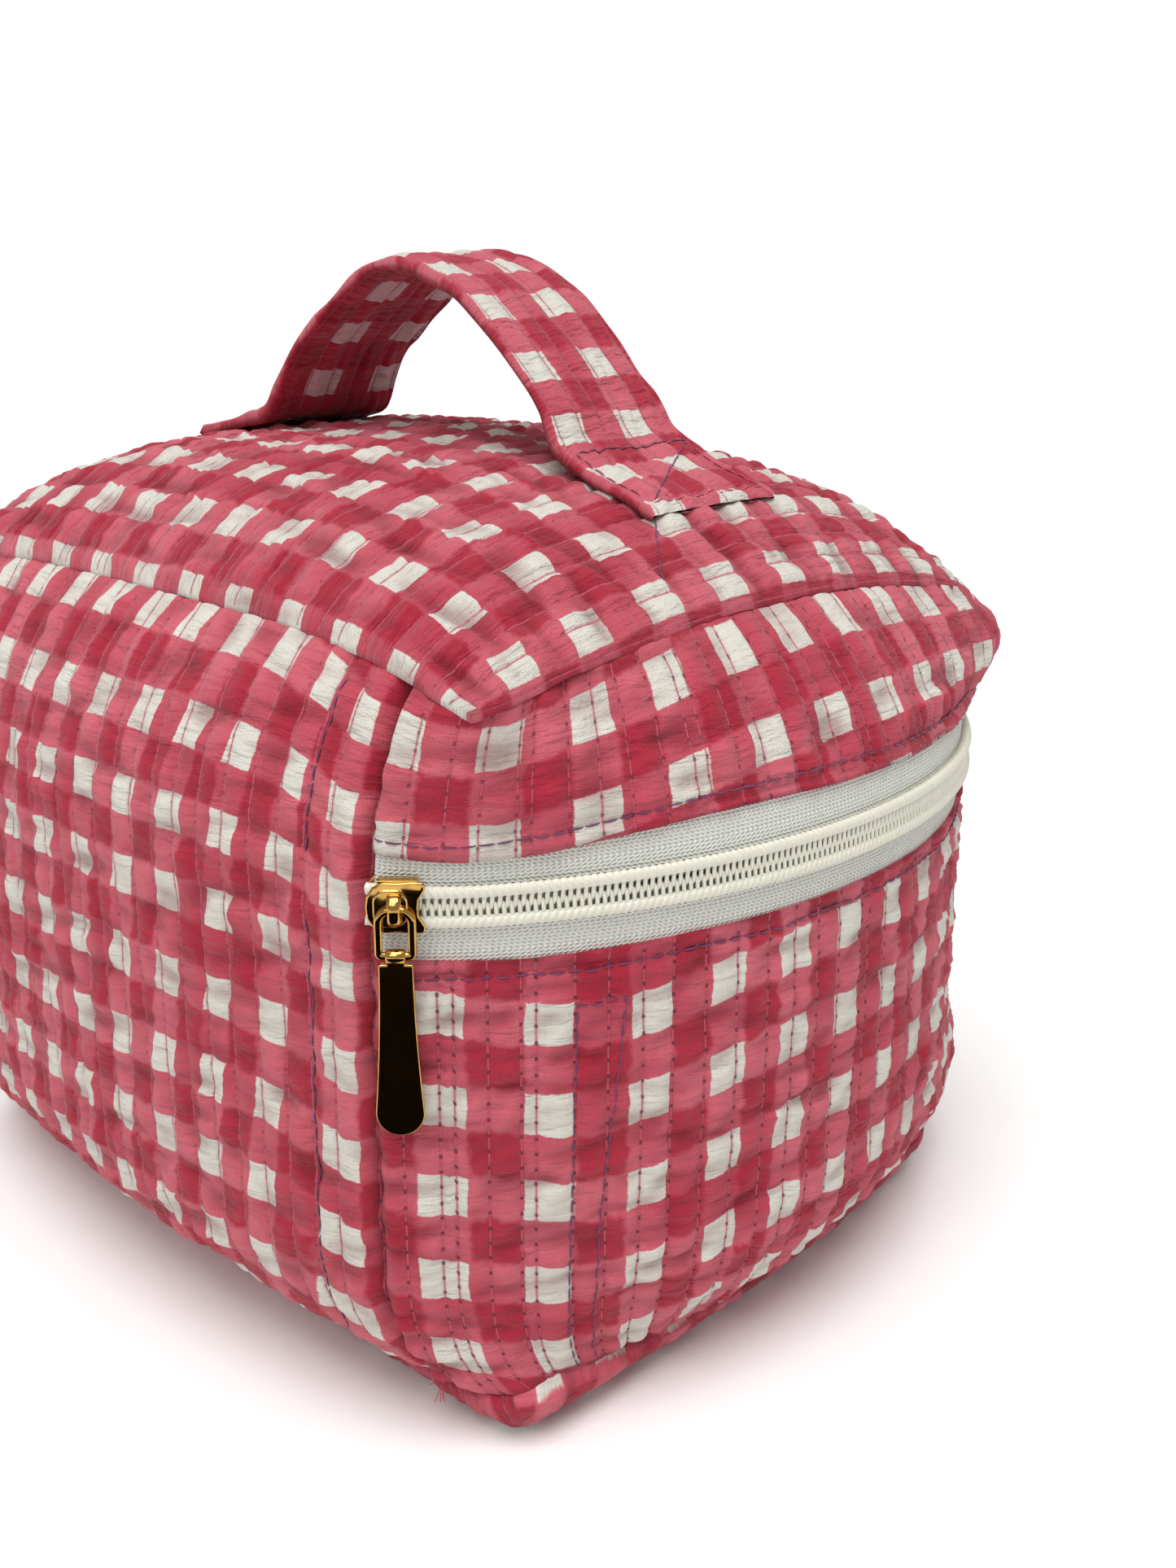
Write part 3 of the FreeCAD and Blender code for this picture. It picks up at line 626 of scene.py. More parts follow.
def zip_cloth():
    """Woven polyester tape: fine ribs along the zip crossed by a herringbone pick."""
    n = Nodes("zip_tape_weave")
    vector, x, y, _ = n.layer("fabric_mm")
    fold = n.zigzag(n.math("DIVIDE", y, 3.4))
    skew = n.fit(fold, 4.6, x)
    ribs = n.fit(n.sine(skew, 0.95), 0.5, 0.5)
    picks = n.fit(n.sine(y, 0.62), 0.5, 0.5)
    fuzz = n.noise(vector, 2.2, 3.0, 0.6)
    height = n.fit(ribs, 0.5, n.times(picks, 0.5))
    height = n.fit(fuzz, 0.6, height)
    tone = n.step(height, 0.2, 1.3)
    color = n.mix(tone, paint(184, 186, 178), paint(236, 237, 230))
    return n.finish(color, 0.6, n.bump(height, 0.0003), Sheen_Weight=0.15, Specular_IOR_Level=0.4)


def nylon():
    n = Nodes("zip_coil_nylon")
    cloud = n.noise(n.place(), 900.0, 2.0)
    color = n.mix(cloud, paint(224, 222, 208), paint(208, 205, 188))
    return n.finish(color, 0.34, n.bump(cloud, 0.00004), Subsurface_Weight=0.1, Subsurface_Scale=0.0005)


def thread_finish(name, color, dark):
    n = Nodes(name)
    _, x, y, _ = n.layer("fabric_mm")
    twist = n.sine(n.fit(y, 1.2, x), 0.32)
    tone = n.fit(twist, 0.5, 0.5)
    return n.finish(n.mix(tone, dark, color), 0.6, n.bump(tone, 0.00004), Sheen_Weight=0.2)


def gold():
    """Polished gold plate with faint scratches, a little darker in the worn patches."""
    n = Nodes("gold_plate")
    place = n.place()
    wear = n.noise(place, 260.0, 4.0, 0.6)
    scratch = n.noise(n.scaled(place, (1400.0, 1400.0, 90.0)), 1.0, 2.0)
    color = n.mix(n.step(wear, 0.4, 0.7), paint(208, 162, 90), paint(182, 138, 72))
    rough = n.fit(wear, 0.06, 0.06)
    return n.finish(color, rough, n.bump(scratch, 0.000002), Metallic=1.0)


PRINT = printed_cotton()
LINING = plain_cotton("lining_cotton", paint(232, 226, 212))
BINDING = plain_cotton("binding_cotton", paint(224, 214, 196), stitched=False)
TAPE = zip_cloth()
COIL = nylon()
PLUM = thread_finish("plum_thread", paint(124, 58, 106), paint(74, 28, 66))
PINK = thread_finish("pink_thread", paint(206, 84, 108), paint(160, 50, 76))
GOLD = gold()


def dress(piece, material, body=None, replaces=()):
    """Give a piece its material, slot, body and the CAD nodes that it stands for."""
    piece.data.materials.clear()
    piece.data.materials.append(material)
    if body:
        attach(piece, body)
    if replaces:
        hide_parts(*replaces)
    return piece


# ---- the print

# Whole numbers are the middles of the white squares. Each panel was cut where it fell
# on the cloth, and pulled a little in the sewing.

def body_print(u, z):
    mirror = from_seam(u)
    across = np.where(mirror < 45, (mirror - 11) / 17.0, 2 + (mirror - 45) / 13.4)
    sag = 82.5 - 5.8 * np.exp(-((mirror - 36) / 26) ** 2)
    return layer(across, (z - sag) / 15.8, 1.0)


def lid_print(u, z):
    mirror = from_seam(u)
    pitch = np.interp(mirror, [18, 70], [16.5, 12.5])
    row = np.interp(mirror, [20, 66, 90], [107.5, 116, 117])
    return layer((mirror - 19.5) / 16.3, (z - row) / pitch, 0.7)


def back_print(u, z):
    inside = np.clip((64 - u) / 12, 0, 1)
    across = (64.5 - u - 0.13 * inside * (90 - z)) / 12.3
    row = 90.5 - 6 * np.exp(-(64 - np.minimum(u, 64)) / 12)
    return layer(across, np.where(z < row, (z - row) / 15.6, (z - row) / 13.4), 0.4)


def top_print(u, w):
    return layer((u + 71.5) / 14.2, (w - 43) / 15.3, 0.3)


def bottom_print(u, w):
    return layer((u + 76.5) / 14.2, (w - 60.5) / 15.3, 0.5)


# ---- quilted panels

# Rows rolled inwards at an edge of a wall panel, as (height from the edge, depth).
HEM = [(0.1, 0.55), (-0.1, 1.3), (0.4, 2.0), (2.2, 2.4)]
SEAM = [(-0.45, 0.5), (-0.75, 1.2), (-0.85, 2.2), (-0.6, 4.5)]
ROLL_ROWS = len(HEM)


def down(*parts):
    """Values joined into one column, to set against rows of a grid."""
    return np.r_[parts][:, None]


def roll(values, start_turn, end_turn):
    """Rows of a panel with a rolled edge before and after: their heights and depths."""
    before = [(values[0] + h, d) for h, d in start_turn[::-1]]
    after = [(values[-1] - h, d) for h, d in end_turn]
    return np.array(before + [(z, 0.0) for z in values] + after).T


def upper_fold(u):
    """Height of the lid's folded edge over the zip, closer to the coil beside the back seams."""
    mirror = from_seam(u)
    return UPPER_FOLD - 1.7 * np.exp(-((mirror - 16) / 20) ** 2) + 0.9 * np.exp(-((mirror - 62) / 22) ** 2)


def lower_fold(u):
    mirror = from_seam(u)
    return LOWER_FOLD - 0.8 * np.exp(-((mirror - 26) / 20) ** 2)


def quilted_wall(name, surface, columns, rows, seed, grooves, limits, seams, printed, shape=None):
    """A quilted panel on a wall surface, with grooves at topstitch rows and sunk seam edges."""
    places, near, shift = columns
    tuck = down(2.2, places * 0, 2.2)
    u = down(places[0] - 0.5, places, places[-1] + 0.5)
    close = down(1.0, near, 1.0)
    moved = down(shift[0], shift, shift[-1])
    z, sunk = rows
    if shape:
        z = shape(u, z)
    rise = puff(close, u, z, seed) - 0.45
    hem = np.minimum(np.abs(z - limits[0]), np.abs(limits[1] - z))
    rise = rise * np.clip(hem / 3.0, 0.35, 1.0)
    rise = rise + 0.35 * ripple(u, z, seed + 5, 60.0)
    for where, width, depth in grooves:
        rise = rise - dent(z - where, width, depth)
    over_tape = (z > TAPE_LOW - 0.5) & (z < TAPE_HIGH + 0.5)
    rise = np.where(over_tape, np.maximum(rise, -0.62), rise)
    gather = 1 + 0.25 * ripple(u * 0, z, 77, 6.0)
    for where, width, depth in seams:
        rise = rise - dent(u - where, width, depth) * gather
    rise = np.maximum(rise - tuck - sunk, np.where(sunk > 0, -3.8, -9.0))
    points = surface(u, z) + normals(surface, u, z) * rise[..., None]
    fabric = layer(u, z * 1.04, 0.0)
    # Depth for painted shade in the cloth's material: the pucker creases, the rolled hems and the seam
    # ditches.
    deep = np.maximum(valley(u, z, seed), dent(hem, 0.8, 0.5))
    for where, _, _ in seams[:2]:
        deep = np.maximum(deep, dent(u - where, 0.9, 1.0))
    quilt = layer(close, z + moved, deep)
    CLOTHS[name] = Cloth(u[:, 0], z, points, ROLL_ROWS, -ROLL_ROWS)
    return grid_piece(name, points, fabric, quilt, printed(u, z))


# Grooves as (place, width, depth).
SEAM_GROOVE = (1.4, 2.2)
WALL_SEAMS = [(0.0, *SEAM_GROOVE), (WALL_LENGTH, *SEAM_GROOVE)]


def body_wall():
    z = np.linspace(BOTTOM_SEAM + 0.9, LOWER_FOLD - 0.9, 82)
    rows = roll(z, SEAM, HEM)
    columns = quilt_columns(0.0, WALL_LENGTH, 11)

    def shape(u, z):
        return z + (lower_fold(u) - LOWER_FOLD) * np.clip(z / LOWER_FOLD, 0, 1) ** 4

    groove = (LOWER_FOLD - FOLD_STITCH, 0.7, 0.9)
    piece = quilted_wall("body_wall_quilt", wall_point, columns, rows, 21, [groove],
                         (BOTTOM_SEAM, LOWER_FOLD), WALL_SEAMS, body_print, shape)
    dress(piece, PRINT, "bag_body", ("body_wall", "body_wadding"))


def lid_wall():
    z = np.linspace(UPPER_FOLD + 0.9, SEAM_Z - 0.9, 27)
    rows = roll(z, HEM, SEAM)
    columns = quilt_columns(0.0, WALL_LENGTH, 13)

    def shape(u, z):
        return z + (upper_fold(u) - UPPER_FOLD) * (SEAM_Z - z) / (SEAM_Z - UPPER_FOLD)

    groove = (UPPER_FOLD + FOLD_STITCH, 0.7, 0.9)
    piece = quilted_wall("lid_wall_quilt", wall_point, columns, rows, 31, [groove],
                         (UPPER_FOLD, SEAM_Z), WALL_SEAMS, lid_print, shape)
    dress(piece, PRINT, "lid", ("lid_wall", "lid_wadding"))


def fold_over(piece, upper, *lower):
    """Bake a cloth of the back panel into place, and hide the CAD nodes above and below the fold that it
    stands for.
    """
    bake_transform(piece)
    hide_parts(upper, *lower)


def back_panel():
    z = np.linspace(BOTTOM_SEAM + 0.9, SEAM_Z - 0.9, 122)
    rows = roll(z, SEAM, SEAM)
    columns = quilt_columns(-BACK_HALF, BACK_HALF, 17)
    stitch = BACK_HALF - SIDE_STITCH
    seams = [(BACK_HALF, *SEAM_GROOVE), (-BACK_HALF, *SEAM_GROOVE),
             (stitch, 0.7, 0.5), (-stitch, 0.7, 0.5)]
    piece = quilted_wall("back_panel_quilt", back_point, columns, rows, 41, [],
                         (BOTTOM_SEAM, SEAM_Z), seams, back_print)
    dress(piece, PRINT)
    fold_over(piece, "back_panel_upper", "back_panel_lower", "back_wadding_lower", "back_wadding_upper")


def dome(x, y):
    """Height of the top panel over the seam, from shares of the half length and half width."""
    long_way = np.clip(1 - np.abs(x) ** 3, 0, 1) ** 0.7
    wide_way = np.clip(1 - np.abs(y) ** 3, 0, 1) ** 0.7
    return CROWN * long_way * wide_way


def rounded(x, y, half_x, half_y, radius):
    """Points of a square grid, from -1 to 1, moved into a rounded rectangle."""
    half_y = np.where(y > 0, half_y, half_y + EDGE_FRONT - EDGE_BACK)
    px = np.abs(x) * half_x
    py = np.abs(y) * half_y
    dx = np.clip(px - (half_x - radius), 0, None) / radius
    dy = np.clip(py - (half_y - radius), 0, None) / radius
    fx = dx * np.sqrt(1 - dy ** 2 / 2)
    fy = dy * np.sqrt(1 - dx ** 2 / 2)
    qx = np.minimum(px, half_x - radius) + fx * radius
    qy = np.minimum(py, half_y - radius) + fy * radius
    outward = np.stack([np.sign(x) * np.where(np.abs(x) >= 1, np.maximum(fx, 1e-6), fx),
                        np.sign(y) * np.where(np.abs(y) >= 1, np.maximum(fy, 1e-6), fy)], axis=-1)
    qy = np.sign(y) * qy
    return np.sign(x) * qx * (1 - EDGE_BOW / EDGE_X * (qy / EDGE_BACK) ** 2), qy, unit(outward)


def share_by_length(half):
    """Shares from 0 to 1 of a half width, evenly spaced along the dome's own profile."""
    x = np.linspace(0, 1, 2000)
    z = CROWN * np.clip(1 - x ** 3, 0, 1) ** 0.7
    along = np.r_[0, np.cumsum(np.hypot(np.diff(x) * half, np.diff(z)))]
    return along[-1], lambda s: np.interp(s, along, x)


OVERHANG = 0.7
LONG_HALF, LONG_SHARE = share_by_length(EDGE_X + OVERHANG)
WIDE_HALF, WIDE_SHARE = share_by_length((EDGE_BACK + EDGE_FRONT) / 2 + OVERHANG)


def top_shares(u, v):
    """Shares of the half length and half width at lengths along the cloth."""
    return np.sign(u) * LONG_SHARE(np.abs(u)), np.sign(v) * WIDE_SHARE(np.abs(v))


def top_surface(u, v):
    """Top panel from lengths along the cloth: u along X, v along Y, from the middle."""
    x, y = top_shares(u, v)
    px, py, _ = rounded(x, y, EDGE_X + OVERHANG, EDGE_BACK + OVERHANG, EDGE_ROUND + 0.5)
    rise = SEAM_LIFT - CORNER_DROP * np.abs(x) ** 4 * y ** 2
    return np.stack([px, py, SEAM_Z + rise + dome(x, y)], axis=-1)


def top_height(x, y):
    """Height of the top panel at a place in plan, away from its edges."""
    sx = x / (EDGE_X + OVERHANG)
    sy = y / (edge_depth(y) + OVERHANG)
    return SEAM_Z + SEAM_LIFT - CORNER_DROP * np.abs(sx) ** 4 * sy ** 2 + dome(sx, sy)


def top_panel():
    places, near, shift = quilt_columns(-LONG_HALF, LONG_HALF, 51)
    v = np.linspace(-WIDE_HALF, WIDE_HALF, 172)
    tuck_out = [0.0, 0.2, -0.9, -3.5]
    tuck_down = [0.0, 0.9, 1.5, 1.7]
    pad = len(tuck_out) - 1
    u = np.pad(places, pad, "edge")[:, None]
    w = np.pad(v, pad, "edge")[None]
    close = np.pad(near, pad)[:, None]
    moved = np.pad(shift, pad, "edge")[:, None]
    ramp = {"mode": "linear_ramp", "end_values": pad}
    level = np.maximum(np.pad(places * 0, pad, **ramp)[:, None], np.pad(v * 0, pad, **ramp)[None])
    n = upward_normals(top_surface, u, w)
    edge = np.minimum(LONG_HALF - np.abs(u), WIDE_HALF - np.abs(w))
    rise = (puff(close, u, w, 61, 1.0) - 0.3) * np.clip(edge / 3.0, 0.3, 1.0)
    rise = rise + 0.5 * ripple(u, w, 66, 55.0) * np.clip(edge / 20.0, 0.0, 1.0)
    points = top_surface(u, w) + n * np.where(level > 0, 0.1, rise)[..., None]
    outward = rounded(*top_shares(u, w), EDGE_X, EDGE_BACK, EDGE_ROUND)[2]
    points[..., :2] += outward * np.interp(level, range(pad + 1), tuck_out)[..., None]
    points[..., 2] -= np.interp(level, range(pad + 1), tuck_down)
    points[..., 2] += 0.15 * ripple(u, w, 67, 11.0) * (level > 0)
    CLOTHS["top"] = Cloth(places, w, points[pad:-pad], pad, -pad)
    # Third channel: pucker depth, darkened as painted shade in the cloth's material.
    quilt = layer(np.where(level > 0, 2.0, close), w + moved, valley(u, w, 61))
    piece = grid_piece("top_panel_quilt", points, layer(w, u, 0.0), quilt, top_print(u, w))
    dress(piece, PRINT, "lid", ("top_panel", "top_wadding"))


ROLL_IN = 9.0
ROLL_LENGTH = 12.3


def bottom_surface(u, w):
    """Bottom panel from lengths along the cloth: flat, then rolled up to the seam all round."""
    inset = []
    for place, half in ((u, EDGE_X), (w, EDGE_BACK)):
        left = half + ROLL_LENGTH - ROLL_IN - np.abs(place)
        curl = np.clip(left / ROLL_LENGTH, 0, 1) * pi / 2
        flat = left - ROLL_LENGTH + ROLL_IN
        inset.append(np.where(left < ROLL_LENGTH, ROLL_IN * (1 - np.cos(curl)), flat))
    x = np.sign(u) * (1 - inset[0] / EDGE_X)
    y = np.sign(w) * (1 - inset[1] / EDGE_BACK)
    px, py, _ = rounded(x, y, EDGE_X + 2.2, EDGE_BACK + 1.6, EDGE_ROUND + 3.5)
    rim = np.clip(1 - np.minimum(*inset) / ROLL_IN, 0, 1)
    climb = BOTTOM_SEAM + 0.5 + foot_rise(px, py) * 0.72 - 0.9
    px, py = spread(px, py, 0.75)
    return np.stack([px, py, 0.9 + climb * (1 - np.sqrt(np.clip(1 - rim ** 2, 0, 1)))], axis=-1)


def bottom_panel():
    long_half = EDGE_X + ROLL_LENGTH - ROLL_IN
    wide_half = EDGE_BACK + ROLL_LENGTH - ROLL_IN
    u, close, moved = map(down, quilt_columns(-long_half, long_half, 71, fine=0.9))
    w = np.linspace(-wide_half, wide_half, 150)
    n = normals(bottom_surface, u, w)
    n = n * np.where(n[..., 2:3] > 0, -1.0, 1.0)
    points = bottom_surface(u, w) + n * (0.6 * puff(close, u, w, 72) - 0.5)[..., None]
    points[..., 2] = np.maximum(points[..., 2], 0.1)
    edge = np.minimum(long_half - np.abs(u), wide_half - np.abs(w))
    tucked = edge < 0.1
    points[tucked] = points[tucked] * [0.955, 0.955, 1.0] + [0.0, 0.0, 1.0]
    # Third channel: pucker depth, darkened as painted shade in the cloth's material.
    quilt = layer(close, w + moved, valley(u, w, 72))
    piece = grid_piece("bottom_panel_quilt", points, layer(w, u, 0.0), quilt, bottom_print(u, w), flip=True)
    dress(piece, PRINT, "bag_body", ("bottom_panel", "bottom_wadding"))


# ---- linings

LINING_STEP = 1.4


def lining_wall(name, surface, columns, z, seed):
    u, close, moved = map(down, columns)
    depth = LINING_DEPTH + 0.7 * puff(close, u, z, seed) - 0.2
    points = surface(u, z) - normals(surface, u, z) * depth[..., None]
    return grid_piece(name, points, layer(u, z, 0.0), layer(close, z + moved, 0.0), flip=True)


def crown_lining(u, w, depth):
    return top_surface(u, w) - upward_normals(top_surface, u, w) * depth[..., None]


def floor_lining(u, w, depth):
    x, y, _ = rounded(u / EDGE_X, w / EDGE_BACK, EDGE_X - 3.6, EDGE_BACK - 3.6, EDGE_ROUND)
    return layer(*spread(x, y, 0.7), depth)


def flat_lining(name, shape, long_half, wide_half, seed, flip):
    """A lining of the top or the bottom, laid out from its middle."""
    u, close, moved = map(down, quilt_columns(-long_half, long_half, seed, fine=LINING_STEP))
    w = np.linspace(-wide_half, wide_half, 80)
    points = shape(u, w, LINING_DEPTH + 0.7 * puff(close, u, w, seed))
    return grid_piece(name, points, layer(w, u, 0.0), layer(close, w + moved, 0.0), flip=flip)


def lined(piece, body=None, nodes=()):
    """Give a lining its cotton, its body and the CAD nodes that it stands for."""
    dress(piece, LINING, body, nodes)


def linings():
    low = np.linspace(5.5, LOWER_FOLD - 0.8, 60)
    high = np.linspace(UPPER_FOLD + 0.8, SEAM_Z + 2.4, 26)
    columns = quilt_columns(2.0, WALL_LENGTH - 2.0, 11, fine=LINING_STEP)
    piece = lining_wall("body_lining_cloth", wall_point, columns, low, 81)
    lined(piece, "bag_body", ("body_lining",))
    piece = lining_wall("lid_lining_cloth", wall_point, columns, high, 82)
    lined(piece, "lid", ("lid_lining",))
    columns = quilt_columns(1.0 - BACK_HALF, BACK_HALF - 1.0, 17, fine=LINING_STEP)
    piece = lining_wall("back_lining_cloth", back_point, columns, np.linspace(5.5, SEAM_Z + 2.4, 101), 83)
    lined(piece)
    fold_over(piece, "back_lining_upper", "back_lining_lower")
    long_half = LONG_HALF - 0.6
    wide_half = WIDE_HALF - 0.6
    piece = flat_lining("top_lining_cloth", crown_lining, long_half, wide_half, 84, True)
    lined(piece, "lid", ("top_lining",))
    piece = flat_lining("bottom_lining_cloth", floor_lining, EDGE_X, EDGE_BACK, 85, False)
    lined(piece, "bag_body", ("bottom_lining",))


def ribbon(name, surface, u, z, depth, thick, material, body, replaces):
    """A flat strip with two faces on a wall surface, between depth and depth plus thick."""
    n = normals(surface, down(u), z)
    base = surface(down(u), z)
    depth = np.broadcast_to(depth, (len(u),))[:, None, None]
    front = base - n * depth
    rear = base - n * (depth + thick)
    loop = np.concatenate([front, rear[:, ::-1]], axis=1).transpose(1, 0, 2)
    round_z = down(z, z[::-1] + 40)
    piece = grid_piece(name, loop, layer(u, round_z, 0.0), layer(u * 0 + 2.0, round_z, 0.0),
                       flip=True, closed=True)
    return dress(piece, material, body, replaces)


def binding(name, surface, u, z, body, nodes=(), over=0.6):
    ribbon(name, surface, u, z, LINING_DEPTH + over, 0.7, BINDING, body, nodes)


def bindings():
    along = np.linspace(1.0, WALL_LENGTH - 1.0, 240)
    back = np.linspace(-BACK_HALF, BACK_HALF, 80)
    for body, part, low, high in (("bag_body", "bottom", 6.0, 13.0),
                                  ("lid", "top", SEAM_Z - 12.0, SEAM_Z - 6.0)):
        rows = np.linspace(low, high, 6)
        binding(part + "_binding_wall", wall_point, along, rows, body, (part + "_seam_binding",), 0.7)
        binding(part + "_binding_back", back_point, back, rows, body, (), 0.7)
    for side, sign in (("left", 1), ("right", -1)):
        edge = sign * (BACK_HALF - 1.5)
        across = np.linspace(edge - 3.5, edge + 3.5, 7)
        lower = np.linspace(13.5, LOWER_FOLD - 2.0, 40)
        upper = np.linspace(UPPER_FOLD + 2.0, SEAM_Z - 12.5, 12)
        top_corner = np.linspace(SEAM_Z - 5.7, SEAM_Z + 1.5, 8)
        foot_corner = np.linspace(6.0, 13.2, 8)
        for part, rows, body in (("back", lower, "bag_body"), ("lid", upper, "lid")):
            node = (part + "_binding_" + side,)
            binding(part + "_binding_strip_" + side, back_point, across, rows, body, node)
        binding("lid_binding_corner_" + side, back_point, across, top_corner, "lid")
        binding("back_binding_corner_" + side, back_point, across, foot_corner, "bag_body", (), 1.6)


# ---- zip

def zip_tapes():
    ends = np.array([0.0, 0.4, 0.8, 1.2])
    along = np.r_[ends, np.linspace(1.6, WALL_LENGTH - 1.6, 340), WALL_LENGTH - ends[::-1]]
    depth = 0.95 + dent(from_seam(along), 1.0, 2.6)
    for part, low, high, body, on in (("lower", TAPE_LOW, ZIP_Z - 0.7, "bag_body", "body_wall_quilt"),
                                      ("upper", ZIP_Z + 0.7, TAPE_HIGH, "lid", "lid_wall_quilt")):
        piece = ribbon("zip_tape_cloth_" + part, wall_point, along, np.linspace(low, high, 14), depth, 0.5,
                       TAPE, body, ("zip_tape_" + part,))


def sweep(name, path, side, out, section):
    """A tube along a path: section points (side, out) in millimetres, frames given per point."""
    ring = path[:, None, :] + side[:, None, :] * section[..., 0:1] + out[:, None, :] * section[..., 1:2]
    ring = np.concatenate([ring, ring[:, :1]], axis=1)
    along = down(run_of(path))
    turn = np.linspace(0, 1, ring.shape[1])
    return grid_piece(name, ring, layer(along, turn, 0.0), layer(along * 0 + 2.0, turn, 0.0))


def full_turn(count):
    return np.linspace(0, 2 * pi, count, endpoint=False)


def squared(value, power):
    """A wave made squarer."""
    return np.sign(value) * np.abs(value) ** power


def circle(radius, count):
    angle = full_turn(count)
    return np.column_stack([radius * np.cos(angle), radius * np.sin(angle)])


def zip_coils():
    """Each half: a flattened nylon coil whose loops mesh in the middle, and its sewn cord edge."""
    pitch = 1.18
    start = 0.8
    turns = int((WALL_LENGTH - 2 * start) / pitch)
    per_turn = 14
    t = np.arange(turns * per_turn) / per_turn
    angle = 2 * pi * t
    for part, sign, body, phase in (("lower", -1, "bag_body", 0.0), ("upper", 1, "lid", 0.5)):
        u = start + (t + phase) * pitch
        z = ZIP_Z + sign * (1.35 - 1.75 * squared(np.cos(angle), 0.55))
        depth = 0.35 - 0.62 * squared(np.sin(angle), 0.7)
        n = normals(wall_point, u, z)
        path = wall_point(u, z) - n * depth[:, None]
        tangent = heading(path)
        side = unit(np.cross(n, tangent))
        section = np.broadcast_to(circle(0.36, 6), (len(t), 6, 2))
        loops = sweep("zip_coil_loops_" + part, path, side, np.cross(tangent, side), section)
        dress(loops, COIL, body, ("zip_coil_" + part,))
        u = np.arange(start, WALL_LENGTH - start, 0.147)
        z = np.full_like(u, ZIP_Z + sign * 2.45)
        n = normals(wall_point, u, z)
        path = wall_point(u, z) + n * 0.18
        around = full_turn(12)
        twist = 1 + 0.20 * np.cos(2 * pi * (down(u) / pitch + 0.5 * sign * np.cos(around)))
        ring = layer(0.98 * np.cos(around) * (0.7 + 0.3 * twist), 0.78 * np.sin(around) * twist)
        cord = sweep("zip_coil_cord_" + part, path, np.cross(n, heading(path)), n, ring)
        dress(cord, COIL, body)


# ---- slider, link and tab

AZIMUTH = radians(134.0)
OUT = np.array([cos(AZIMUTH), sin(AZIMUTH), 0.0])
ALONG = np.array([-sin(AZIMUTH), cos(AZIMUTH), 0.0])
LINK_OUT = END_RADIUS + 2.95
PIN_Z = ZIP_Z - 7.2


def parked(points):
    """Points given as (outwards, along the zip, up) moved to the parked slider."""
    p = np.asarray(points, float)
    return p[..., 0:1] * OUT + p[..., 1:2] * ALONG + p[..., 2:3] * np.array([0.0, 0.0, 1.0])


def slab(name, outline, low, high, bevel, segments=3):
    """A plate with a rounded rim: an outline (along, up) between two distances outwards."""
    count = len(outline)
    points = [(low, a, b) for a, b in outline] + [(high, a, b) for a, b in outline]
    faces = [list(range(count))[::-1], list(range(count, 2 * count))]
    faces += [[i, (i + 1) % count, count + (i + 1) % count, count + i] for i in range(count)]
    piece = mesh_piece(name, parked(points), faces, {})
    rim = piece.modifiers.new("rim", "BEVEL")
    rim.width = bevel * MM
    rim.segments = segments
    rim.limit_method = "ANGLE"
    rim.angle_limit = radians(40)
    weighted = piece.modifiers.new("weighted", "WEIGHTED_NORMAL")
    weighted.keep_sharp = False
    return piece


def joined(name, pieces):
    """Several pieces with their modifiers applied, as one object."""
    bpy.context.view_layer.update()
    graph = bpy.context.evaluated_depsgraph_get()
    points = []
    faces = []
    for piece in pieces:
        mesh = bpy.data.meshes.new_from_object(piece.evaluated_get(graph))
        base = len(points)
        points.extend([tuple(v.co / MM) for v in mesh.vertices])
        faces.extend([[base + i for i in p.vertices] for p in mesh.polygons])
        bpy.data.objects.remove(piece)
    return mesh_piece(name, points, faces, {})


def blob_outline(half_a, half_b, corner, count=6):
    """A rounded rectangle as (along, up) points."""
    points = []
    for ca, cb, start in ((1, 1, 0), (-1, 1, 90), (-1, -1, 180), (1, -1, 270)):
        for i in range(count + 1):
            angle = radians(start + 90 * i / count)
            points.append((ca * (half_a - corner) + corner * cos(angle),
                           cb * (half_b - corner) + corner * sin(angle)))
    return points


def raised(outline, z):
    return [(a, b + z) for a, b in outline]


def bar(start, end, z, half):
    """A narrow rectangle along the zip at a height."""
    return [(start, z - half), (end, z - half), (end, z + half), (start, z + half)]


def slider():
    half = [(4.45, 2.9), (4.3, 4.0), (2.6, 4.1), (0.4, 3.9),
            (-1.8, 4.0), (-3.3, 3.2), (-4.2, 1.7), (-4.4, 0.0)]
    waist = [(3.5, -1.3), (3.35, 0.0), (3.5, 1.3)]
    front = raised(half + [(a, -b) for a, b in half[-2::-1]] + waist, ZIP_Z)
    base = END_RADIUS + 0.95
    back = raised(blob_outline(4.2, 3.9, 1.5), ZIP_Z)
    plates = [slab("slider_front", front, base + 0.4, base + 1.15, 0.33),
              slab("slider_back", back, END_RADIUS - 2.95, END_RADIUS - 1.95, 0.3),
              slab("slider_post", bar(-4.1, -2.3, ZIP_Z, 0.3), END_RADIUS - 2.0, base + 0.6, 0.05)]
    for sign in (-1, 1):
        outline = bar(-2.6, 3.4, ZIP_Z + sign * 3.9, 0.22)
        plates.append(slab("slider_rim", outline, END_RADIUS - 0.5, base + 0.6, 0.08))
    crown = [(a - 0.7, b) for a, b in raised(blob_outline(2.6, 3.0, 2.0), ZIP_Z)]
    plates.append(slab("slider_crown", crown, base + 0.7, base + 1.45, 0.6))
    dress(joined("zip_slider_metal", plates), GOLD, "slider", ("zip_slider",))


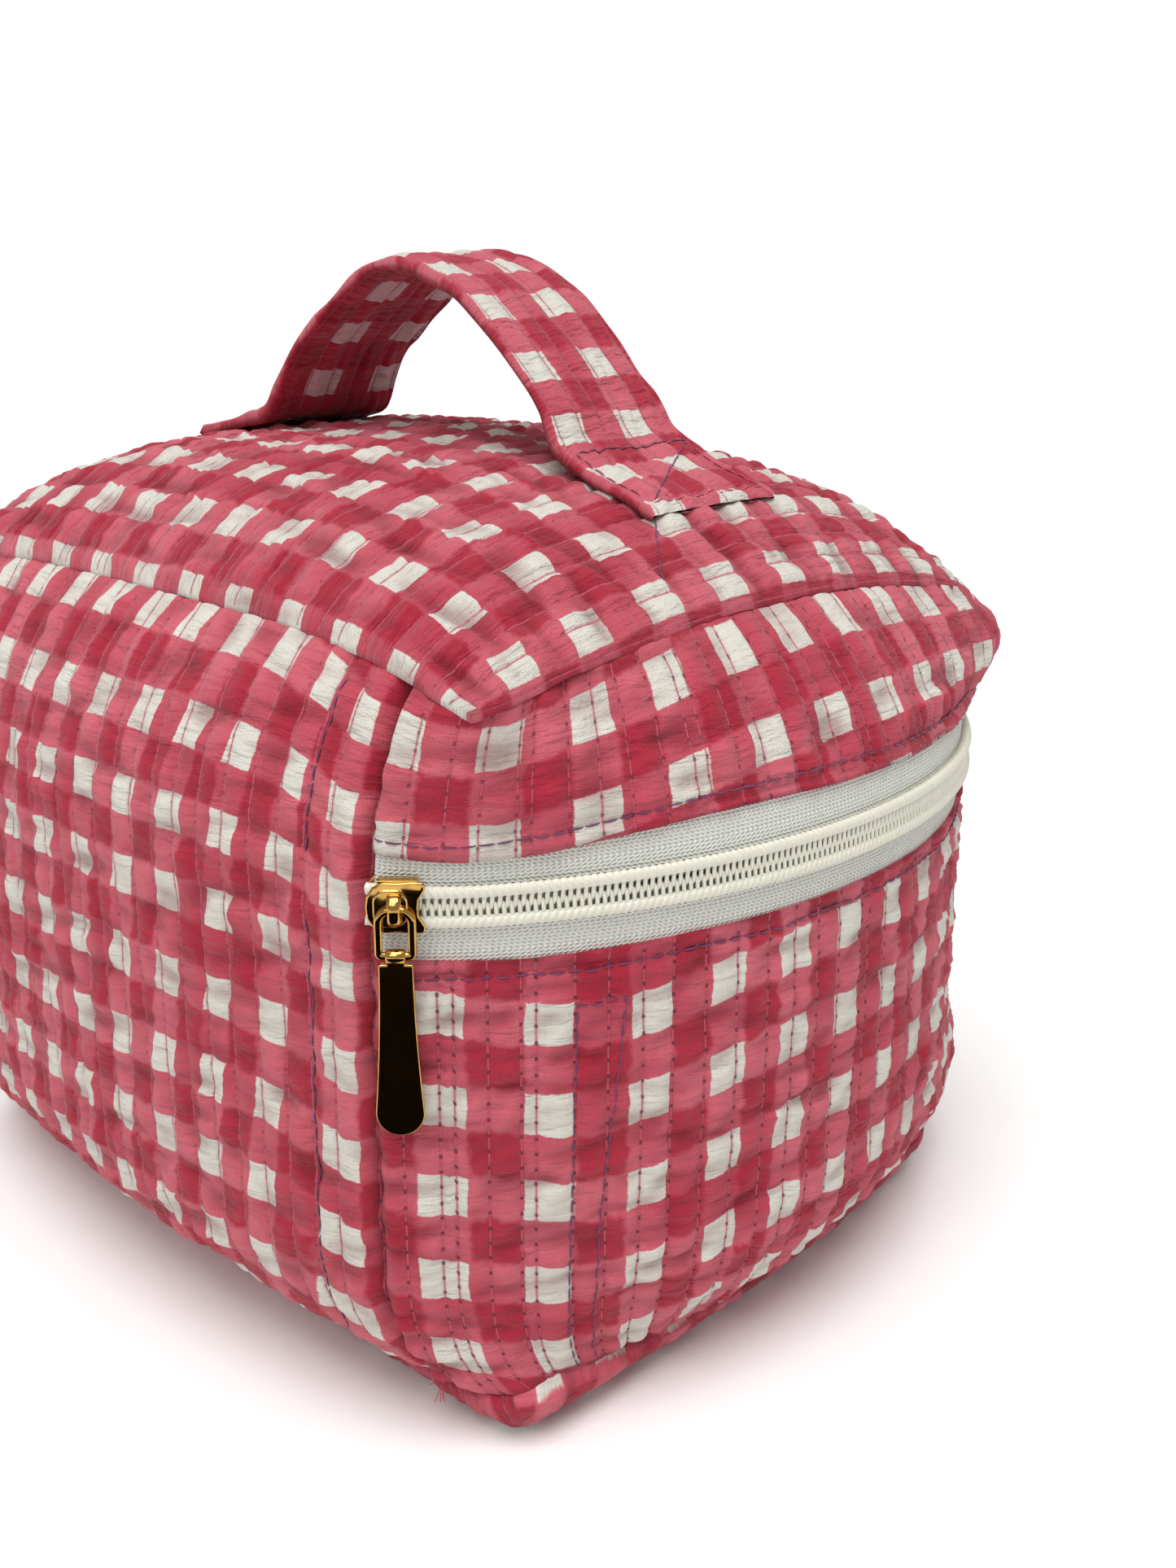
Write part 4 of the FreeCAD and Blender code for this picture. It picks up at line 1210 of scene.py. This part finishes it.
def bail():
    """A strap of metal arched over the link's bar."""
    turn = np.linspace(0, pi, 17)
    height = 2.45 * np.sin(turn) ** 0.55
    path = parked(np.column_stack([END_RADIUS + 1.75 + height, np.zeros(17), ZIP_Z + 2.15 * np.cos(turn)]))
    side = np.broadcast_to(ALONG, path.shape)
    wide = 0.9 + 0.2 * np.abs(np.cos(turn))
    angle = full_turn(14)
    section = layer(squared(np.cos(angle), 0.6) * down(wide), np.sin(angle) * 0.38)
    piece = sweep("slider_bail_arch", path, side, np.cross(heading(path), side), section)
    dress(piece, GOLD, "slider", ("slider_bail",))


def link():
    """Wire U with inward ends, flattened a little, that hangs on the bail."""
    half = 2.5
    bend = 2.0
    corners = [(-0.2, PIN_Z), (-half, PIN_Z), (-half, ZIP_Z), (half, ZIP_Z), (half, PIN_Z), (0.2, PIN_Z)]
    bends = [0.5, bend, bend, 0.5]
    points = [corners[0]]
    for before, corner, after, radius in zip(corners, corners[1:], corners[2:], bends):
        a = Vector(before) - Vector(corner)
        b = Vector(after) - Vector(corner)
        a.normalize()
        b.normalize()
        centre = Vector(corner) + (a + b) * radius
        for i in range(9):
            turn = radians(90 * i / 8)
            spoke = -b * radius * cos(turn) - a * radius * sin(turn)
            points.append(tuple(centre + spoke))
    points.append(corners[-1])
    flat = np.array(points)
    path = parked(np.column_stack([np.full(len(flat), LINK_OUT), flat]))
    out = np.broadcast_to(OUT, path.shape)
    angle = full_turn(12)
    shape = layer(np.cos(angle) * 0.64, squared(np.sin(angle), 0.7) * 0.5)
    section = np.broadcast_to(shape, (len(path), 12, 2))
    piece = sweep("puller_link_wire", path, np.cross(out, heading(path)), out, section)
    dress(piece, GOLD, "link", ("puller_link",))


def tab():
    """Pull tab: barrel, neck, square shoulders and a flare to a round end, with a soft rim."""
    shoulder = PIN_Z - 1.15
    end_half = 3.75
    top_half = 2.6
    length = 28.4
    centre = shoulder - length + end_half
    outline = [(-1.4, PIN_Z), (-1.4, shoulder), (-top_half, shoulder)]
    waist = []
    for i in range(1, 8):
        t = i / 8
        waist.append((top_half + (end_half - top_half) * t ** 1.8, shoulder + (centre - shoulder) * t))
    outline += [(-a, b) for a, b in waist]
    for degrees in range(0, 181, 12):
        a = radians(degrees)
        outline.append((-end_half * cos(a), centre - end_half * sin(a)))
    outline += waist[::-1] + [(top_half, shoulder), (1.4, shoulder), (1.4, PIN_Z)]
    plate = slab("tab_plate", outline[::-1], LINK_OUT - 0.6, LINK_OUT + 0.6, 0.28, 4)
    turn = down(full_turn(24))
    a = np.array([-1.45, -1.45, -1.3, 1.3, 1.45, 1.45, -1.45])
    radius = np.array([0.66, 1.0, 1.15, 1.15, 1.0, 0.66, 0.66])
    ring = parked(layer(LINK_OUT + radius * np.cos(turn), a, PIN_Z + radius * np.sin(turn)))
    barrel = mesh_piece("tab_barrel", ring.reshape(-1, 3), grid_faces(24, len(a), closed=True), {})
    piece = joined("puller_tab_plate", [plate, barrel])
    dress(piece, GOLD, "tab", ("puller_tab",))


# ---- handle

HANDLE_X = -5.0
HANDLE_SPAN = 44.0
HANDLE_TOP = top_of("handle_cover").z
HANDLE_HALF = top_of("handle_cover").y
STRAP_MIDDLE = 1.7
STRAP_EDGE = 1.5
FOOT_END = 65.0
FOOT_LENGTH = 22.0


def handle_line():
    """Centre line of the strap in side view, from the left foot's end to the right foot's."""
    rise = HANDLE_TOP - STRAP_MIDDLE - (SEAM_Z + CROWN)
    arch = [(s * HANDLE_SPAN, HANDLE_TOP - STRAP_MIDDLE - rise * s * s) for s in np.linspace(0, 0.93, 12)]
    lifts = ((48.2, 2.5), (52.0, 1.9), (58.0, 1.8), (FOOT_END, 1.8))
    foot = [(r, top_height(HANDLE_X + r, 0.0) + lift) for r, lift in lifts]
    right = np.array(arch + foot)
    line = np.vstack([right[:0:-1] * [-1, 1], right])
    line[:, 0] += HANDLE_X
    for i in range(len(foot)):
        line[i, 1] += top_height(line[i, 0], 0.0) - top_height(2 * HANDLE_X - line[i, 0], 0.0)
    return line


def smooth_line(points, count):
    """Cubic through points, evenly spaced by length."""
    t = np.r_[0, np.cumsum(np.hypot(*np.diff(points, axis=0).T))]
    fine = np.linspace(0, t[-1], 1600)
    slope = np.gradient(points, t, axis=0)
    out = []
    for axis in range(2):
        i = np.clip(np.searchsorted(t, fine, side="right") - 1, 0, len(t) - 2)
        h = t[i + 1] - t[i]
        s = (fine - t[i]) / h
        p0, p1 = points[i, axis], points[i + 1, axis]
        m0, m1 = slope[i, axis] * h, slope[i + 1, axis] * h
        out.append((2 * s ** 3 - 3 * s ** 2 + 1) * p0 + (s ** 3 - 2 * s ** 2 + s) * m0
                   + (3 * s ** 2 - 2 * s ** 3) * p1 + (s ** 3 - s ** 2) * m1)
    dense = Track(np.column_stack(out))
    s = np.linspace(0, dense.length, count)
    return np.column_stack(dense.at(s)), s


def handle():
    line, along = smooth_line(handle_line(), 200)
    uz, ux = map(down, (heading(line) * [1, -1]).T)
    inner = HANDLE_HALF - STRAP_EDGE
    places, near, shift = quilt_columns(-inner, inner, 91, pitch=5.9, fine=0.75, doubles=0.0)
    turn = np.linspace(0, pi, 7)[1:-1]
    edge_y = np.sin(turn) * STRAP_EDGE
    edge_z = np.cos(turn)
    y = np.r_[places, inner + edge_y, places[::-1], -inner - edge_y, places[:1]]
    face = np.r_[np.ones(len(places)), edge_z, -np.ones(len(places)), -edge_z, 1.0]
    rim = np.full(5, 2.5)
    close = np.r_[near, rim, near[::-1], rim, near[:1]]
    moved = np.r_[shift, rim * 0, shift[::-1], rim * 0, shift[:1]]
    develop = np.r_[0, np.cumsum(np.hypot(np.diff(y), np.diff(face) * 1.2))] - HANDLE_HALF + STRAP_EDGE
    s, x, z = map(down, (along, *line.T))
    thick = 0.75 + 0.8 * np.clip(puff(close, s, y, 95, 1.0), 0, 1.4)
    end = np.minimum(s, along[-1] - s)
    hem = np.clip(end / 1.6, 0.0, 1.0)
    thick = thick * np.sqrt(np.clip(1 - (1 - hem) ** 2, 0.03, 1))
    ring = np.abs(np.abs(y) - (HANDLE_HALF - 3.0))
    box = np.minimum(np.abs(end - 3.0), np.abs(end - FOOT_LENGTH + 5.0))
    box = np.where(np.abs(y) < HANDLE_HALF - 2.5, box, 9.0)
    box = np.minimum(box, np.where((end > 2.5) & (end < FOOT_LENGTH - 4.5), ring, 9.0))
    thick = thick - np.where((face > 0) & (end < FOOT_LENGTH), dent(box, 0.8, 0.6), 0.0)
    bent = np.clip((end - FOOT_LENGTH + 4) / 20.0, 0, 1)
    lean = bent * bent * (3 - 2 * bent)
    conform = 1 - np.clip((end - FOOT_LENGTH) / 10.0, 0, 1)
    fall = top_height(x, y) - top_height(x, y * 0)
    px = x + ux * face * thick - 0.10 * y * lean
    pz = z + uz * face * thick + fall * conform + 0.4 * ripple(s, y, 97, 40.0) * lean
    py = y + 0.7 * ripple(s, y * 0, 98, 50.0) * lean
    points = np.stack([px, py, pz], axis=-1)
    # The third channel marks the strap's underside for painted shade in the cloth's material.
    quilt = layer(close, s + moved, 1.5 * (face < 0))
    piece = grid_piece("handle_strap_quilt", points, layer(develop, s, 0.0), quilt,
                       layer((develop + 5) / 17, s / 13.7, 0.3))
    CLOTHS["handle"] = Cloth(along, y, points, 0, len(places))
    dress(piece, PRINT)
    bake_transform(piece)
    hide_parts("handle_cover", "handle_wadding", "handle_foot_left", "handle_foot_right")
    return line, along


# ---- topstitching

THREAD_RADIUS = 0.17


def stitches(name, path, out, material, body, replaces=()):
    """A row of sewn stitches along a path: each a short bowed thread between two needle holes."""
    track = run_of(path)
    count = max(1, int(track[-1] / STITCH))
    steps = 7
    sides = 5
    share = np.linspace(0, 1, steps)
    points = []
    faces = []
    fabric = []
    for k in range(count):
        s = (k + 0.06 + share * 0.88) * STITCH
        core = np.column_stack([np.interp(s, track, path[:, i]) for i in range(3)])
        normal = np.column_stack([np.interp(s, track, out[:, i]) for i in range(3)])
        core = core + normal * (0.24 * np.sin(pi * share) ** 0.5 - 0.12)[:, None]
        side = np.cross(normal, heading(core))
        size = THREAD_RADIUS * np.clip(np.sin(pi * share), 0.25, 1) ** 0.4
        base = len(points)
        for i in range(steps):
            for j in range(sides):
                angle = 2 * pi * j / sides
                points.append(core[i] + (side[i] * cos(angle) + normal[i] * sin(angle)) * size[i])
                fabric.append((s[i], j / sides, 0.0))
        for i in range(steps - 1):
            for j in range(sides):
                a = base + i * sides + j
                b = base + i * sides + (j + 1) % sides
                faces.append([a, b, b + sides, a + sides])
        faces.append([base + j for j in range(sides)][::-1])
        faces.append([base + (steps - 1) * sides + j for j in range(sides)])
    piece = mesh_piece(name, points, faces, {"fabric_mm": fabric})
    return dress(piece, material, body, replaces)


def sew(name, cloth, surface, u, z, body, node):
    """Plum stitches on a quilted wall."""
    n = normals(surface, u, z)
    stitches(name, CLOTHS[cloth].at(u, z) + n * 0.1, n, PLUM, body, (node,))


def route_points(corners):
    """Points every 0.6 mm along straight lines between corners."""
    rows = []
    for (a0, b0), (a1, b1) in zip(corners, corners[1:]):
        count = int(hypot(a1 - a0, b1 - b0) / 0.6)
        t = np.arange(count) / count
        rows.append(np.column_stack([a0 + (a1 - a0) * t, b0 + (b1 - b0) * t]))
    return np.vstack(rows)


def topstitching():
    u = np.arange(1.0, WALL_LENGTH - 1.0, 0.7)
    wob = 0.25 * ripple(u, u * 0, 101, 30.0)
    lower = lower_fold(u) - FOLD_STITCH + wob
    upper = upper_fold(u) + FOLD_STITCH + wob
    for part, cloth, z, body in (("lower", "body_wall_quilt", lower, "bag_body"),
                                 ("upper", "lid_wall_quilt", upper, "lid")):
        sew("zip_topstitch_thread_" + part, cloth, wall_point, u, z, body, "zip_topstitch_" + part)
    for side, sign in (("left", 1), ("right", -1)):
        for part, low, high, body in (("back", 4.0, ZIP_Z - 5.0, "bag_body"),
                                      ("lid", ZIP_Z + 5.0, SEAM_Z - 3.0, "lid")):
            z = np.arange(low, high, 0.7)
            u = sign * (BACK_HALF - SIDE_STITCH + 0.2 * ripple(z, z * 0, 103, 25.0))
            node = part + "_topstitch_" + side
            sew(part + "_topstitch_thread_" + side, "back_panel_quilt", back_point, u, z, body, node)
    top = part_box("wall_tape_stitching")[1].z / MM
    corners = [(31.0, 9.0), (32.4, top), (40.2, top + 0.5), (36.4, 40.0), (35.4, 9.0)]
    route = route_points(corners)
    sew("wall_tape_thread", "body_wall_quilt", wall_point, *route.T, "bag_body", "wall_tape_stitching")
    binding("wall_tape_strip", wall_point, np.linspace(32.0, 39.4, 6), np.linspace(13.5, top, 40),
            "bag_body", ("inner_wall_tape",), 0.8)


def foot_stitching(line, along):
    """A box with one diagonal on each foot, sewn through the strap, and a tail to the end seam."""
    half = HANDLE_HALF - 2.0
    for side, sign in (("left", -1), ("right", 1)):
        box = [(2.2, half), (2.2, -half), (21.0, -half), (21.0, half), (2.2, half)]
        cross = [(21.0, half), (21.0, -half), (2.2, half)]
        node = ("foot_stitching_" + side,)
        for part, corners, thread, nodes in (("box", box, PINK, ()), ("cross", cross, PLUM, node)):
            route = route_points(corners)
            s = route[:, 0] if sign < 0 else along[-1] - route[:, 0]
            slope = np.interp(s, along, np.gradient(line[:, 1], line[:, 0]))
            out = unit(np.column_stack([-slope, slope * 0, slope * 0 + 1]))
            path = CLOTHS["handle"].at(s, route[:, 1]) + out * 0.1
            stitches("foot_%s_thread_%s" % (part, side), path, out, thread, "lid", nodes)
    route = route_points([(-68.0, 12.8), (-76.0, 19.5), (-84.5, 25.5)])
    n = normals(top_surface, route[:, 0], route[:, 1])
    stitches("tail_thread", CLOTHS["top"].at(route[:, 0], route[:, 1]) + n * 0.1, n, PLUM, "lid")


def loose_ends():
    """A tuft of cut thread ends at the foot of the left back seam."""
    rng = np.random.default_rng(131)
    root = wall_point(np.array([0.0]), np.array([8.5]))[0]
    out = normals(wall_point, np.array([1.0]), np.array([8.0]))[0]
    side = np.cross(out, [0.0, 0.0, 1.0])
    t = np.linspace(0, 1, 12)[:, None]
    pieces = []
    for _ in range(8):
        reach = rng.uniform(2.2, 4.6)
        lean = out * rng.uniform(0.4, 1.0) + side * rng.uniform(-0.9, 0.9)
        lean = lean + np.array([0, 0, rng.uniform(-0.7, 0.6)])
        curl = side * rng.uniform(-1.4, 1.4) + np.array([0.0, 0.0, rng.uniform(-1.2, 0.6)])
        path = root + out * 0.2 + lean * reach * t + curl * t ** 2
        path[:, 2] = np.maximum(path[:, 2], 0.3)
        tangent = heading(path)
        across = unit(np.cross(tangent, [0.3, 0.2, 0.93]))
        section = np.broadcast_to(circle(0.09, 5), (12, 5, 2))
        pieces.append(sweep("end", path, across, np.cross(tangent, across), section))
    tuft = joined("loose_thread_ends", pieces)
    values = np.zeros(3 * len(tuft.data.vertices), np.float32)
    tuft.data.attributes.new("fabric_mm", "FLOAT_VECTOR", "POINT").data.foreach_set("vector", values)
    dress(tuft, PINK, "bag_body")


# ---- make the bag

body_wall()
lid_wall()
back_panel()
top_panel()
bottom_panel()
linings()
bindings()
zip_tapes()
zip_coils()
slider()
bail()
link()
tab()
strap_line, strap_along = handle()
topstitching()
foot_stitching(strap_line, strap_along)
loose_ends()


# ---- studio

def square(name, half, z):
    corners = [(-half, -half, z), (half, -half, z), (half, half, z), (-half, half, z)]
    return mesh_piece(name, corners, [[0, 1, 2, 3]], {}, smooth=False)


def studio():
    world = bpy.data.worlds.new("studio")
    bpy.context.scene.world = world
    world.use_nodes = True
    tree = world.node_tree
    background = tree.nodes["Background"]
    background.inputs["Color"].default_value = (1.0, 0.995, 0.985, 1.0)
    background.inputs["Strength"].default_value = 0.42
    floor = square("floor", 4000, -0.2)
    n = Nodes("floor_paper")
    grain = n.noise(n.place(), 60.0, 3.0)
    paper = n.mix(grain, (0.92, 0.92, 0.915, 1), (0.95, 0.95, 0.945, 1))
    floor.data.materials.append(n.finish(paper, 0.85))
    profile = ((3200, -40), (3200, 1600), (2200, 2900), (0.1, 3400))
    rings = [[(r * cos(a), r * sin(a), z) for r, z in profile] for a in full_turn(48)]
    wall = mesh_piece("backdrop", np.array(rings).reshape(-1, 3), grid_faces(48, 4, closed=True), {})
    white = Nodes("backdrop_white")
    wall.data.materials.append(white.finish(BLACK, 1.0, Emission_Color=WHITE, Emission_Strength=1.0,
                                            Specular_IOR_Level=0.0))
    card = square("dark_card", 1.0, 0.0)
    dark = Nodes("dark_card")
    card.data.materials.append(dark.finish((0.006, 0.005, 0.004, 1), 0.9, Specular_IOR_Level=0.0))
    card.matrix_world = Matrix.Translation((-0.25, 0.28, 0.001)) @ Matrix.Diagonal((190.0, 190.0, 1.0, 1.0))
    wall.visible_glossy = False
    card.visible_camera = False
    for piece in (wall, card):
        piece.visible_diffuse = False
        piece.visible_shadow = False
        piece.visible_transmission = False
    for name, kind, spot, power in (("over", "SUN", (-0.20, 0.22, 1.3), 2.35),
                                    ("key", "AREA", (-0.45, 0.95, 1.0), 4.5)):
        data = bpy.data.lights.new(name, kind)
        data.energy = power
        if kind == "SUN":
            data.angle = radians(46)
        else:
            data.size = 0.8
        lamp = bpy.data.objects.new(name, data)
        lamp.location = spot
        lamp.rotation_mode = "QUATERNION"
        lamp.rotation_quaternion = (Vector(spot) - Vector((0, 0, 0.08))).to_track_quat("Z", "Y")
        bpy.context.scene.collection.objects.link(lamp)


def camera():
    data = bpy.data.cameras.new("camera")
    data.sensor_width = 36.0
    data.lens = 37.3
    data.clip_start = 0.01
    eye = bpy.data.objects.new("camera", data)
    yaw = radians(-46.68)
    pitch = radians(18.24)
    roll_angle = radians(0.41)
    ahead = Vector((cos(yaw) * cos(pitch), sin(yaw) * cos(pitch), -sin(pitch)))
    right = ahead.cross(Vector((0, 0, 1))).normalized()
    up = right.cross(ahead)
    turned_right = right * cos(roll_angle) + up * sin(roll_angle)
    turned_up = up * cos(roll_angle) - right * sin(roll_angle)
    basis = Matrix((turned_right, turned_up, -ahead)).transposed()
    eye.matrix_world = Matrix.Translation((-0.2457, 0.2178, 0.1897)) @ basis.to_4x4()
    bpy.context.scene.collection.objects.link(eye)
    bpy.context.scene.camera = eye


studio()
camera()
bpy.context.scene.view_settings.view_transform = "Standard"
